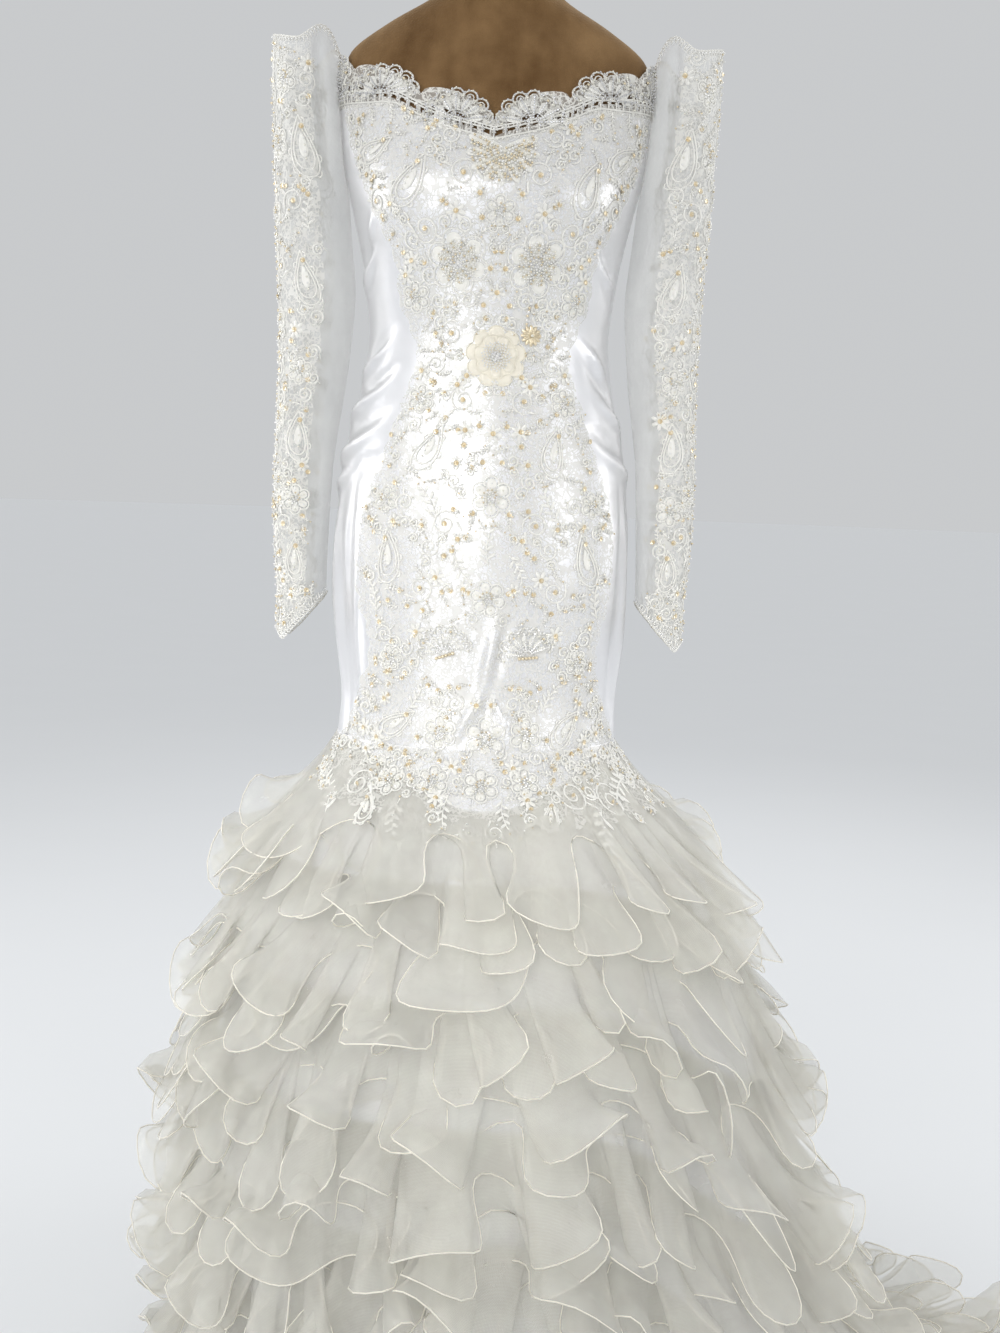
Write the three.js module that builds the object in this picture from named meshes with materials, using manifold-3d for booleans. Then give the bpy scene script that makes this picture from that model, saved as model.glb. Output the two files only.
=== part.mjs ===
// A mermaid gown on a floor-standing dress form, in millimetres, +Z up.
// The origin is on the floor under the form's pole. The gown faces -Y, and the wearer's left is +X.
// Angles go round the gown from the centre front: 90 is the wearer's left side, 180 the centre back.
import * as THREE from "three";
import Module from "manifold-3d";

const kernel = await Module();
kernel.setup();

// Cloth and clearances
const SATIN = 2;
const LACE = 1.2;
const ORGANZA = 1.2;
const SEAM_GAP = 0.3;
const LYING_GAP = 0.6;
const FORM_GAP = 0.7;
const FORM_GAP_AT_CHEST = 3;
const ARMHOLE_GAP = 0.95;

// Heights
const CHEST_LINE = 1270;
const FORM_BASE = 800;
const SHOULDER_ROW = 1385;
const NECK_TOP = 1560;

// Dress form stand
const POLE_RADIUS = 16;
const BASE_RADIUS = 190;
const BASE_THICKNESS = 13;
const SOCKET_TOP = 42;
const CAP_THICKNESS = 13;

// Columns round the figure and the skirt
const FIGURE_COLUMNS = 36;
const YOKE_COLUMNS = 72;
const SLEEVE_COLUMNS = 12;
const FLOUNCE_COLUMNS = 72;

// The figure that the gown's outside follows: height, half width at the side seam, depth in front and behind.
const FIGURE = [
  { z: 700, side: 150, front: 120, back: 128 },
  { z: 745, side: 147, front: 112, back: 122 },
  { z: 800, side: 151, front: 112, back: 126 },
  { z: 860, side: 155.5, front: 113, back: 130 },
  { z: 915, side: 156.5, front: 111, back: 129 },
  { z: 960, side: 152.5, front: 106, back: 121 },
  { z: 1010, side: 146, front: 99, back: 109 },
  { z: 1060, side: 134, front: 91, back: 97 },
  { z: 1120, side: 126.5, front: 86, back: 89 },
  { z: 1160, side: 130, front: 92, back: 90 },
  { z: 1200, side: 136, front: 104, back: 93 },
  { z: 1240, side: 145, front: 117, back: 96 },
  { z: 1270, side: 152, front: 118, back: 97 },
  { z: 1300, side: 158, front: 108, back: 97 },
  { z: 1345, side: 162, front: 91, back: 93 },
  { z: 1385, side: 163, front: 77, back: 86 },
  { z: 1408, side: 155, front: 68, back: 80 },
  { z: 1434, side: 122, front: 60, back: 72 },
  { z: 1464, side: 72, front: 54, back: 64 },
  { z: 1490, side: 58, front: 53, back: 58 },
  { z: 1560, side: 55, front: 54, back: 55 },
];

// Two bust cups on the figure
const CUP = { angle: 36, height: 1242, rise: 9, wide: 20, tall: 38 };

// The satin's top edge, the same on both sides: a sweetheart front and a straight back.
const SATIN_EDGE = [
  { angle: 0, z: 1302 },
  { angle: 17, z: 1315 },
  { angle: 27, z: 1327 },
  { angle: 38, z: 1341 },
  { angle: 50, z: 1344 },
  { angle: 90, z: 1350 },
  { angle: 135, z: 1342 },
  { angle: 180, z: 1334 },
];

// The lace yoke's free edge: the dips between scallops and how far each scallop rises over its dips.
const SCALLOP_DIPS = [
  { angle: 0, z: 1324 },
  { angle: 27, z: 1351 },
  { angle: 62, z: 1380 },
  { angle: 95, z: 1386 },
  { angle: 120, z: 1370 },
  { angle: 150, z: 1356 },
  { angle: 180, z: 1350 },
];
const SCALLOP_RISE = 15;
const YOKE_ROWS = [0, 0.3, 0.62, 1];

// One sleeve, in section: the side next to the figure, the outer side and half the depth.
const SLEEVE = [
  { z: 1405, inner: 164, outer: 231, depth: 58 },
  { z: 1375, inner: 162, outer: 231, depth: 62 },
  { z: 1335, inner: 158, outer: 229, depth: 62 },
  { z: 1285, inner: 152, outer: 227, depth: 58 },
  { z: 1220, inner: 147, outer: 225, depth: 50 },
  { z: 1160, inner: 143, outer: 222, depth: 46 },
  { z: 1095, inner: 149, outer: 221, depth: 45 },
  { z: 1025, inner: 158, outer: 222, depth: 44 },
  { z: 955, inner: 163, outer: 223, depth: 41 },
  { z: 900, inner: 165, outer: 222, depth: 38 },
  { z: 852, inner: 166, outer: 218, depth: 36 },
];
// Its upper edge, from the outer side round to the inner one, and the point of its slanting cuff.
const SLEEVE_TOP = [
  { turn: 0, z: 1421 },
  { turn: 50, z: 1409 },
  { turn: 90, z: 1405 },
  { turn: 130, z: 1420 },
  { turn: 180, z: 1397 },
];
const SLEEVE_POINT = { x: 210, drop: 52 };

// The bell of the satin underskirt, and how far the train pulls each height outwards.
const BELL = [
  { z: 700, side: 150, front: 120, back: 128, pull: 0 },
  { z: 665, side: 164, front: 141, back: 150, pull: 8 },
  { z: 625, side: 187, front: 171, back: 181, pull: 18 },
  { z: 580, side: 213, front: 203, back: 213, pull: 26 },
  { z: 520, side: 239, front: 231, back: 241, pull: 30 },
  { z: 440, side: 262, front: 253, back: 264, pull: 34 },
  { z: 350, side: 275, front: 268, back: 280, pull: 48 },
  { z: 250, side: 283, front: 278, back: 291, pull: 76 },
  { z: 150, side: 286, front: 283, back: 297, pull: 114 },
  { z: 60, side: 286, front: 284, back: 299, pull: 158 },
  { z: 2, side: 285, front: 284, back: 300, pull: 210 },
];
const FLOOR_ROWS = 4;
const HEM_ON_FLOOR = 14;
const TRAIN = { angle: 75, frontSpread: 30, backSpread: 30, length: 330 };

// Organza flounces, top down: where each is sewn on and where its hem falls, as shares of the way down the
// underskirt, then its waves, how far it stands off the skirt at its hem and how deep its waves are.
const FLOUNCES = [
  { sewn: 0.02, hem: 0.255, waves: 12, stand: 34, wave: 16 },
  { sewn: 0.21, hem: 0.43, waves: 12, stand: 44, wave: 19 },
  { sewn: 0.345, hem: 0.585, waves: 14, stand: 46, wave: 20 },
  { sewn: 0.5, hem: 0.73, waves: 14, stand: 47, wave: 20 },
  { sewn: 0.645, hem: 0.865, waves: 16, stand: 44, wave: 18 },
  { sewn: 0.78, hem: 0.985, waves: 16, stand: 38, wave: 16 },
];
const FLOUNCE_ROWS = [0, 0.45, 1];
const TOP_FLOUNCE_ROWS = [0, 0.18, 0.5, 1];
const TOP_FLOUNCES = 2;
const QUARTERS = ["front_left", "back_left", "back_right", "front_right"];

// Thick applique flowers raised from the front panel: place, size and height.
const FLOWERS = [
  { angle: 0, z: 1276, radius: 22, rise: 4 },
  { angle: -24, z: 1207, radius: 21, rise: 5 },
  { angle: 24, z: 1207, radius: 21, rise: 5 },
  { angle: 1, z: 1106, radius: 31, rise: 8 },
  { angle: 0, z: 958, radius: 24, rise: 5 },
  { angle: 0, z: 858, radius: 21, rise: 5 },
  { angle: 0, z: 730, radius: 23, rise: 5 },
];
const PETALS = 6;

// Covered buttons down the centre back
const BUTTONS = 10;
const BUTTON = { radius: 6, height: 4.5, top: 1316, pitch: 27, beside: 8 };

const radians = THREE.MathUtils.degToRad;

// Value of a table's column at a key, on a smooth curve through its rows.
function along(table, keyName, key, column) {
  const last = table.length - 1;
  const rising = table[last][keyName] > table[0][keyName];
  const past = (row) => (rising ? row[keyName] > key : row[keyName] < key);
  let i = table.findIndex(past) - 1;
  if (i === -2) i = last - 1;
  i = Math.max(0, Math.min(last - 1, i));
  const slope = (a, b) => (table[b][column] - table[a][column]) / (table[b][keyName] - table[a][keyName]);
  const start = slope(Math.max(0, i - 1), i + 1);
  const end = slope(i, Math.min(last, i + 2));
  const span = table[i + 1][keyName] - table[i][keyName];
  const t = THREE.MathUtils.clamp((key - table[i][keyName]) / span, 0, 1);
  const keep = 2 * t ** 3 - 3 * t ** 2 + 1;
  return (
    keep * table[i][column] +
    (1 - keep) * table[i + 1][column] +
    (t ** 3 - 2 * t ** 2 + t) * span * start +
    (t ** 3 - t ** 2) * span * end
  );
}

// Point on an oval with its own depth in front and behind, moved out by some millimetres.
function oval(angle, z, side, front, back, out) {
  const turn = radians(angle);
  const depth = Math.cos(turn) > 0 ? front : back;
  return new THREE.Vector3((side + out) * Math.sin(turn), -(depth + out) * Math.cos(turn), z);
}

function cupRise(angle, z) {
  const across = (Math.abs(angle) - CUP.angle) / CUP.wide;
  const up = (z - CUP.height) / CUP.tall;
  return Math.cos(radians(angle)) > 0 ? CUP.rise * Math.exp(-across * across - up * up) : 0;
}

// The figure's surface, as the outside of the cloth on it.
function figure(angle, z, out = 0) {
  const side = along(FIGURE, "z", z, "side");
  const front = along(FIGURE, "z", z, "front");
  const back = along(FIGURE, "z", z, "back");
  return oval(angle, z, side, front, back, out + cupRise(angle, z));
}

// A closed wall between a grid of outer points and the inner points behind them. Cells that keep() refuses are
// left open, and a loop's last column joins its first.
function wall(outer, inner, loop = false, keep = () => true) {
  const rows = outer.length;
  const columns = outer[0].length;
  const cells = loop ? columns : columns - 1;
  const index = [];
  const at = (row, column, side) => side * rows * columns + row * columns + (column % columns);
  const kept = (row, cell) => {
    if (row < 0 || row >= rows - 1) return false;
    if (!loop && (cell < 0 || cell >= cells)) return false;
    return keep(row, (cell + cells) % cells);
  };
  const quad = (a, b, c, d) => index.push(a, b, c, a, c, d);
  for (let row = 0; row < rows - 1; row++) {
    for (let cell = 0; cell < cells; cell++) {
      if (!kept(row, cell)) continue;
      const corners = [
        [row, cell],
        [row, cell + 1],
        [row + 1, cell + 1],
        [row + 1, cell],
      ];
      const [a, b, c, d] = corners.map((corner) => at(...corner, 0));
      const [e, f, g, h] = corners.map((corner) => at(...corner, 1));
      quad(a, b, c, d);
      quad(e, h, g, f);
      if (!kept(row - 1, cell)) quad(b, a, e, f);
      if (!kept(row, cell + 1)) quad(c, b, f, g);
      if (!kept(row + 1, cell)) quad(d, c, g, h);
      if (!kept(row, cell - 1)) quad(a, d, h, e);
    }
  }
  return solid([...outer.flat(), ...inner.flat()], index);
}

// A closed body from points and triangles, turned so that its faces point out.
function solid(points, index) {
  let volume = 0;
  for (let i = 0; i < index.length; i += 3) {
    const [a, b, c] = [points[index[i]], points[index[i + 1]], points[index[i + 2]]];
    volume += a.dot(b.clone().cross(c));
  }
  const turned = volume < 0 ? index.toReversed() : index;
  const geometry = new THREE.BufferGeometry().setFromPoints(points).setIndex(turned);
  geometry.computeVertexNormals();
  return geometry;
}

// A grid of points, one row for each height given and one column for each angle.
function grid(rows, columns, point) {
  return rows.map((row) => columns.map((column) => point(row, column)));
}

// Angles from one seam to another, each end half a seam gap short, at a given radius.
function anglesBetween(start, end, count, radius) {
  const gap = THREE.MathUtils.radToDeg(SEAM_GAP / 2 / radius);
  return Array.from({ length: count + 1 }, (unused, i) => {
    const inset = i === 0 ? gap : i === count ? -gap : 0;
    return start + ((end - start) * i) / count + inset;
  });
}

const gown = new THREE.Group();
const finish = (color, roughness, metalness = 0, opacity = 1) =>
  new THREE.MeshStandardMaterial({ color, roughness, metalness, opacity, transparent: opacity < 1 });
const satin = finish(0xf4f3f1, 0.3);
const lace = finish(0xf3f0e8, 0.7);
const organza = finish(0xefeadd, 0.5, 0, 0.6);
const velvet = finish(0x73552f, 0.9);
const wood = finish(0x7a5230, 0.5);
const steel = finish(0x4a4a4c, 0.4, 0.8);

function add(name, geometry, material) {
  const mesh = new THREE.Mesh(geometry, material);
  mesh.name = name;
  gown.add(mesh);
  return mesh;
}

const wrapped = (angle) => ((((angle + 180) % 360) + 360) % 360) - 180;

// The satin's top edge runs straight between the trunk's columns.
function satinEdge(angle) {
  const place = Math.abs(wrapped(angle));
  const step = 360 / FIGURE_COLUMNS;
  const before = Math.min(Math.floor(place / step), 180 / step - 1) * step;
  const [low, high] = [before, before + step].map((column) => along(SATIN_EDGE, "angle", column, "z"));
  return THREE.MathUtils.lerp(low, high, (place - before) / step);
}

// Rows of the trunk: the figure's own heights up to the chest line, then two that follow the satin's top edge.
const trunkHeights = FIGURE.map((row) => row.z).filter((z) => z <= CHEST_LINE);
function trunkRow(row, angle) {
  if (row < trunkHeights.length) return trunkHeights[row];
  const share = (row - trunkHeights.length + 1) / 2;
  return THREE.MathUtils.lerp(CHEST_LINE, satinEdge(angle), share);
}
const trunkRows = Array.from({ length: trunkHeights.length + 2 }, (unused, i) => i);

function trunkPanel(start, end) {
  const count = Math.round((FIGURE_COLUMNS * (end - start)) / 360);
  const angles = anglesBetween(start, end, count, FIGURE[0].side);
  const layer = (out) => grid(trunkRows, angles, (row, angle) => figure(angle, trunkRow(row, angle), out));
  return wall(layer(0), layer(-SATIN));
}

// The scalloped edge: an arch between each two dips of the table.
function scallopEdge(angle) {
  const place = Math.abs(wrapped(angle));
  const next = Math.max(1, SCALLOP_DIPS.findIndex((dip) => dip.angle >= place));
  const [low, high] = [SCALLOP_DIPS[next - 1], SCALLOP_DIPS[next]];
  const share = (place - low.angle) / (high.angle - low.angle);
  return THREE.MathUtils.lerp(low.z, high.z, share) + SCALLOP_RISE * Math.sqrt(Math.sin(Math.PI * share));
}

// A lace yoke band over the satin's edge, with every second cell of its middle row open.
function yokeBand(start, end) {
  const count = Math.round((YOKE_COLUMNS * (end - start)) / 360);
  const angles = anglesBetween(start, end, count, FIGURE[0].side);
  const height = (share, angle) => {
    const top = Math.max(scallopEdge(angle), satinEdge(angle) + 12);
    return THREE.MathUtils.lerp(satinEdge(angle) + SEAM_GAP, top, share);
  };
  const layer = (out) => grid(YOKE_ROWS, angles, (share, angle) => figure(angle, height(share, angle), out));
  const middle = 1;
  return wall(layer(0), layer(-LACE), false, (row, cell) => row !== middle || cell % 2 === 0);
}

// A sleeve's section point. Where it would touch the bodice it lies just clear of it.
function sleevePoint(row, turn, mirror, out) {
  const reach = (row.outer - row.inner) / 2 + out;
  const x = (row.outer + row.inner) / 2 + reach * Math.cos(turn);
  const y = (row.depth + out) * Math.sin(turn);
  const side = along(FIGURE, "z", Math.min(row.z, 1400), "side");
  const depth = along(FIGURE, "z", Math.min(row.z, 1400), y < 0 ? "front" : "back");
  const inside = Math.abs(y) < depth ? side * Math.sqrt(1 - (y / depth) ** 2) : 0;
  const clear = inside + ARMHOLE_GAP + (out < 0 ? ORGANZA : 0);
  return new THREE.Vector3(mirror * Math.max(x, clear), y, row.z);
}

// A sleeve: an open tube with a peaked upper edge and a slanting, pointed cuff.
function sleeve(mirror) {
  const turns = Array.from({ length: SLEEVE_COLUMNS }, (unused, i) => (360 * i) / SLEEVE_COLUMNS);
  const place = (row, turn, out) => {
    const made = sleevePoint(row, radians(turn), mirror, out);
    if (row === SLEEVE[0]) made.z = along(SLEEVE_TOP, "turn", Math.abs(wrapped(turn)), "z");
    if (row === SLEEVE.at(-1)) {
      const reach = (Math.abs(made.x) - row.inner) / (SLEEVE_POINT.x - row.inner);
      made.z -= SLEEVE_POINT.drop * (reach > 1 ? 2 - reach : Math.max(reach, 0));
    }
    return made;
  };
  const layer = (out) => grid(SLEEVE, turns, (row, turn) => place(row, turn, out));
  return wall(layer(0), layer(-ORGANZA), true);
}

// How much of the train's pull falls on an angle, from 0 to 1.
function trainShare(angle) {
  const from = wrapped(angle - TRAIN.angle);
  const spread = from > 0 ? TRAIN.backSpread : TRAIN.frontSpread;
  return Math.exp(-((from / spread) ** 2));
}
const floorWidth = (angle) => HEM_ON_FLOOR + TRAIN.length * trainShare(angle);

// The underskirt's profile at an angle, from the knee seam down and out along the floor.
function skirtProfile(angle) {
  const pulled = trainShare(angle);
  const falling = BELL.map((row) => oval(angle, row.z, row.side, row.front, row.back, row.pull * pulled));
  const foot = falling.at(-1);
  const outwards = foot.clone().setZ(0).normalize();
  for (let i = 1; i <= FLOOR_ROWS; i++) {
    falling.push(foot.clone().addScaledVector(outwards, (floorWidth(angle) * i) / FLOOR_ROWS));
  }
  return falling;
}

// The wall's inner side: straight in from the hanging part, and straight down under what lies on the floor.
function skirtLining(angle) {
  return skirtProfile(angle).map((point, row) => {
    const lying = row - (BELL.length - 1);
    if (lying > 0) return point.clone().setZ(0);
    const inwards = point.clone().setZ(0).normalize();
    return point.clone().addScaledVector(inwards, -SATIN).setZ(lying === 0 ? 0 : point.z);
  });
}

function underskirt(start, end) {
  const count = Math.round((FIGURE_COLUMNS * (end - start)) / 360);
  const angles = anglesBetween(start, end, count, BELL[0].side);
  const columns = angles.map(skirtProfile);
  const linings = angles.map(skirtLining);
  const rows = Array.from({ length: columns[0].length }, (unused, i) => i);
  const turn = (lists) => rows.map((row) => lists.map((list) => list[row].clone()));
  const drop = (points) => {
    points[0].forEach((point) => (point.z -= SEAM_GAP));
    return points;
  };
  return wall(drop(turn(columns)), drop(turn(linings)));
}

// A point on the faceted underskirt, a share of the way down its profile, and how far along the floor it lies.
function onSkirt(angle, share) {
  const step = 360 / FIGURE_COLUMNS;
  const before = Math.floor(angle / step) * step;
  const [left, right] = [skirtProfile(before), skirtProfile(before + step)];
  const across = (angle - before) / step;
  const profile = left.map((point, i) => point.clone().lerp(right[i], across));
  const lengths = [0];
  profile.slice(1).forEach((point, i) => lengths.push(lengths[i] + point.distanceTo(profile[i])));
  const reach = share * lengths.at(-1);
  const i = Math.max(1, lengths.findIndex((length) => length >= reach - 1e-9));
  const down = (reach - lengths[i - 1]) / (lengths[i] - lengths[i - 1]);
  const [a, b, c, d] = [left[i - 1], right[i - 1], right[i], left[i]];
  const point = a.clone();
  if (across >= down) point.addScaledVector(b.clone().sub(a), across).addScaledVector(c.clone().sub(b), down);
  else point.addScaledVector(d.clone().sub(a), down).addScaledVector(c.clone().sub(d), across);
  return { point, pastFoot: reach - lengths[BELL.length - 1] };
}

// The way a flounce stands off the skirt: outwards where it hangs, upwards where the train lies.
function standingWay(angle, point, pastFoot) {
  const lying = THREE.MathUtils.smoothstep(pastFoot, -170, 130) * Math.min(1, floorWidth(angle) / 180);
  const tilt = radians(80 * lying);
  return point.clone().setZ(0).normalize().multiplyScalar(Math.cos(tilt)).setZ(Math.sin(tilt));
}

// A point on a flounce's inner face.
function onFlounce(flounce, order, share, angle) {
  const placed = onSkirt(angle, THREE.MathUtils.lerp(flounce.sewn, flounce.hem, share));
  const uneven = 0.85 + 0.15 * Math.sin(radians(3 * angle) + 2.1 * order);
  const swing = Math.sin(radians(flounce.waves * angle) + 1.3 * order);
  const off = LYING_GAP + flounce.stand * share ** 1.2 + flounce.wave * uneven * share ** 1.5 * swing;
  return placed.point.addScaledVector(standingWay(angle, placed.point, placed.pastFoot), off);
}

// A quarter of a flounce: a flaring wall whose waves grow towards its hem, thickened along its own normals.
function flouncePanel(flounce, order, start) {
  const angles = anglesBetween(start, start + 90, FLOUNCE_COLUMNS / 4, BELL[0].side);
  const inner = (share, angle) => onFlounce(flounce, order, share, angle);
  const outer = (share, angle) => {
    const down = inner(Math.min(share + 0.05, 1), angle).sub(inner(Math.max(share - 0.05, 0), angle));
    const along = inner(share, angle + 1).sub(inner(share, angle - 1));
    return inner(share, angle).addScaledVector(along.cross(down).normalize(), -ORGANZA);
  };
  const rows = order < TOP_FLOUNCES ? TOP_FLOUNCE_ROWS : FLOUNCE_ROWS;
  return wall(grid(rows, angles, outer), grid(rows, angles, inner));
}

// A point on the trunk's facets, moved out.
function onTrunk(angle, z, out) {
  const step = 360 / FIGURE_COLUMNS;
  const before = Math.floor(angle / step) * step;
  const row = Math.max(0, trunkRows.slice(0, -1).findLastIndex((each) => trunkRow(each, angle) <= z));
  const [low, high] = [trunkRow(row, angle), trunkRow(row + 1, angle)];
  const edge = (each) => {
    const ends = [before, before + step].map((column) => figure(column, trunkRow(each, column), out));
    return ends[0].lerp(ends[1], (angle - before) / step);
  };
  return edge(row).lerp(edge(row + 1), (z - low) / (high - low));
}

// A petalled dome that starts inside the trunk's wall and stands out from it.
function flower({ angle, z, radius, rise }) {
  const rim = 2 * PETALS;
  const layers = [
    { share: 0.5, out: -SATIN / 2 },
    { share: 1, out: -SATIN / 2 },
    { share: 1, out: rise / 2 },
    { share: 0.5, out: rise * 0.85 },
  ];
  const perDegree = figure(angle + 1, z).distanceTo(figure(angle, z));
  const place = (share, turn, out) => {
    const reach = radius * share * (turn % 2 === 0 ? 1 : 0.72);
    const way = (Math.PI * turn) / PETALS;
    return onTrunk(angle + (reach * Math.sin(way)) / perDegree, z + reach * Math.cos(way), out);
  };
  const turns = Array.from({ length: rim }, (unused, i) => i);
  const points = layers.flatMap(({ share, out }) => turns.map((turn) => place(share, turn, out)));
  points.push(onTrunk(angle, z, -SATIN / 2), onTrunk(angle, z, rise));
  const [under, crown] = [layers.length * rim, layers.length * rim + 1];
  const last = (layers.length - 1) * rim;
  const index = [];
  turns.forEach((turn) => {
    const next = (turn + 1) % rim;
    index.push(under, next, turn, crown, last + turn, last + next);
    for (let low = 0; low < last; low += rim) {
      index.push(low + turn, low + next, low + rim + next, low + turn, low + rim + next, low + rim + turn);
    }
  });
  return solid(points, index);
}

// Several closed bodies joined into one.
function joined(bodies) {
  const made = bodies.map((body) => {
    const vertProperties = body.attributes.position.array;
    const triVerts = Uint32Array.from(body.index.array);
    return new kernel.Manifold(new kernel.Mesh({ numProp: 3, vertProperties, triVerts }));
  });
  const mesh = kernel.Manifold.union(made).getMesh();
  const geometry = new THREE.BufferGeometry();
  geometry.setAttribute("position", new THREE.BufferAttribute(Float32Array.from(mesh.vertProperties), 3));
  geometry.setIndex(new THREE.BufferAttribute(Uint32Array.from(mesh.triVerts), 1));
  geometry.computeVertexNormals();
  return geometry;
}

// The form: the same figure inside the cloth, on the trunk's own rows as far as these go, closed at both ends.
function formBody() {
  const angles = Array.from({ length: FIGURE_COLUMNS }, (unused, i) => (360 * i) / FIGURE_COLUMNS);
  const shoulders = FIGURE.map((row) => row.z).filter((z) => z >= SHOULDER_ROW);
  const rows = [
    ...trunkRows.slice(trunkHeights.indexOf(FORM_BASE)).map((row) => (angle) => trunkRow(row, angle)),
    (angle) => (satinEdge(angle) + SHOULDER_ROW) / 2,
    ...shoulders.map((z) => () => z),
  ];
  const inset = (z) => {
    const raised = THREE.MathUtils.smoothstep(z, CHEST_LINE, SHOULDER_ROW);
    return SATIN + THREE.MathUtils.lerp(FORM_GAP, FORM_GAP_AT_CHEST, raised);
  };
  const place = (row, angle) => figure(wrapped(angle), row(angle), -inset(row(angle)));
  const points = rows.flatMap((row) => angles.map((angle) => place(row, angle)));
  points.push(new THREE.Vector3(0, 0, FORM_BASE), new THREE.Vector3(0, 0, NECK_TOP));
  const [bottom, top] = [points.length - 2, points.length - 1];
  const index = [];
  const lastRow = (rows.length - 1) * FIGURE_COLUMNS;
  angles.forEach((unused, i) => {
    const next = (i + 1) % FIGURE_COLUMNS;
    rows.slice(1).forEach((row, r) => {
      const [low, high] = [r * FIGURE_COLUMNS, (r + 1) * FIGURE_COLUMNS];
      index.push(low + i, low + next, high + next, low + i, high + next, high + i);
    });
    index.push(bottom, next, i, top, lastRow + i, lastRow + next);
  });
  return solid(points, index);
}

// A turned body from a profile of radius and height, standing along Z.
function turned(profile, segments) {
  const points = profile.map(([radius, height]) => new THREE.Vector2(radius, height));
  return new THREE.LatheGeometry(points, segments).rotateX(Math.PI / 2);
}

// Dress form
add("form_body", formBody(), velvet);
const capRadius = FIGURE.at(-1).side + 1;
const capProfile = [
  [0, 0],
  [capRadius, 0],
  [capRadius, 8],
  [capRadius - 8, CAP_THICKNESS],
  [0, CAP_THICKNESS],
];
add("form_neck_cap", turned(capProfile, 24), wood).position.z = NECK_TOP + SEAM_GAP;
const poleLength = FORM_BASE - SOCKET_TOP - 2 * SEAM_GAP;
const pole = new THREE.CylinderGeometry(POLE_RADIUS, POLE_RADIUS, poleLength, 16).rotateX(Math.PI / 2);
add("form_pole", pole, steel).position.z = SOCKET_TOP + SEAM_GAP + poleLength / 2;
const baseProfile = [
  [0, 0],
  [BASE_RADIUS, 0],
  [BASE_RADIUS, BASE_THICKNESS - 4],
  [BASE_RADIUS - 8, BASE_THICKNESS],
  [2 * POLE_RADIUS, BASE_THICKNESS + 3],
  [POLE_RADIUS + 6, SOCKET_TOP],
  [0, SOCKET_TOP],
];
add("form_base", turned(baseProfile, 32), steel);

// Satin trunk and lace yoke
add("front_panel", joined([trunkPanel(-90, 90), ...FLOWERS.map(flower)]), satin);
add("back_panel_left", trunkPanel(90, 180), satin);
add("back_panel_right", trunkPanel(-180, -90), satin);
add("lace_yoke_front", yokeBand(-90, 90), lace);
add("lace_yoke_back_left", yokeBand(90, 180), lace);
add("lace_yoke_back_right", yokeBand(-180, -90), lace);

// Sleeves
add("sleeve_left", sleeve(1), organza);
add("sleeve_right", sleeve(-1), organza);

// Skirt
QUARTERS.forEach((quarter, i) => {
  add(`underskirt_${quarter}`, underskirt(90 * i, 90 * i + 90), satin);
  FLOUNCES.forEach((flounce, order) => {
    add(`flounce_${order + 1}_${quarter}`, flouncePanel(flounce, order, 90 * i), organza);
  });
});

// Covered back buttons
const buttonProfile = [
  [0, 0],
  [BUTTON.radius, 0],
  [BUTTON.radius * 0.9, BUTTON.height * 0.65],
  [0, BUTTON.height],
];
const buttonAngle = 180 - THREE.MathUtils.radToDeg(BUTTON.beside / FIGURE[0].back);
for (let i = 0; i < BUTTONS; i++) {
  const z = BUTTON.top - i * BUTTON.pitch;
  const seat = onTrunk(buttonAngle, z, LYING_GAP);
  const across = onTrunk(buttonAngle + 1, z, LYING_GAP).sub(seat);
  const up = onTrunk(buttonAngle, z + 1, LYING_GAP).sub(seat);
  const button = add(`button_${i + 1}`, turned(buttonProfile, 8), satin);
  button.quaternion.setFromUnitVectors(new THREE.Vector3(0, 0, 1), across.cross(up).normalize());
  button.position.copy(seat);
}

export default gown;
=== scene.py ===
# A mermaid gown on a dress form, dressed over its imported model.
# Sizes in the tables are in millimetres, and lamps and flat cloth are in metres.
# Angles go round the gown from the centre front, with 90 at the wearer's left.
import bpy
import math
from mathutils import Matrix, Vector
import numpy as np


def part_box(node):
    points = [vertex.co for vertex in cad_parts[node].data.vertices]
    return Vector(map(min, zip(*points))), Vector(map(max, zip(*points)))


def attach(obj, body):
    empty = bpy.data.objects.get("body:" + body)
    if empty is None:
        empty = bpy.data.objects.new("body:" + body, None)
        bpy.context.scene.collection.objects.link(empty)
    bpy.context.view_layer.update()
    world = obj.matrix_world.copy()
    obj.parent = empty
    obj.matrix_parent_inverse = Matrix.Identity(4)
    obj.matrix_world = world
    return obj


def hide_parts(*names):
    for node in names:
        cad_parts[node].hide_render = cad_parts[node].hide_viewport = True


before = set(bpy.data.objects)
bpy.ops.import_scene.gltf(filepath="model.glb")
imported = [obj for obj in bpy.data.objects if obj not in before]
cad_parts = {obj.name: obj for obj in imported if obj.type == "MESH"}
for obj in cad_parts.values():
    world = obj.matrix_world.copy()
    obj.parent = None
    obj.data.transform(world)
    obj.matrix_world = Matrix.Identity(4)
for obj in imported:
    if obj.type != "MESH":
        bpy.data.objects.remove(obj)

bl_info = {
    "name": "Mermaid Gown",
    "version": (1, 0, 0),
    "blender": (4, 5, 0),
    "location": "3D View > Sidebar > Gown",
    "description": "Satin, lace, beads and organza flounces of a gown on a dress form",
    "category": "Object",
}

MM = 0.001
GOLDEN_TURN = 2.39996


def table(columns, *rows):
    """A table's named columns as arrays."""
    return {name: np.array(values) for name, values in zip(columns.split(), zip(*rows))}


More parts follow.
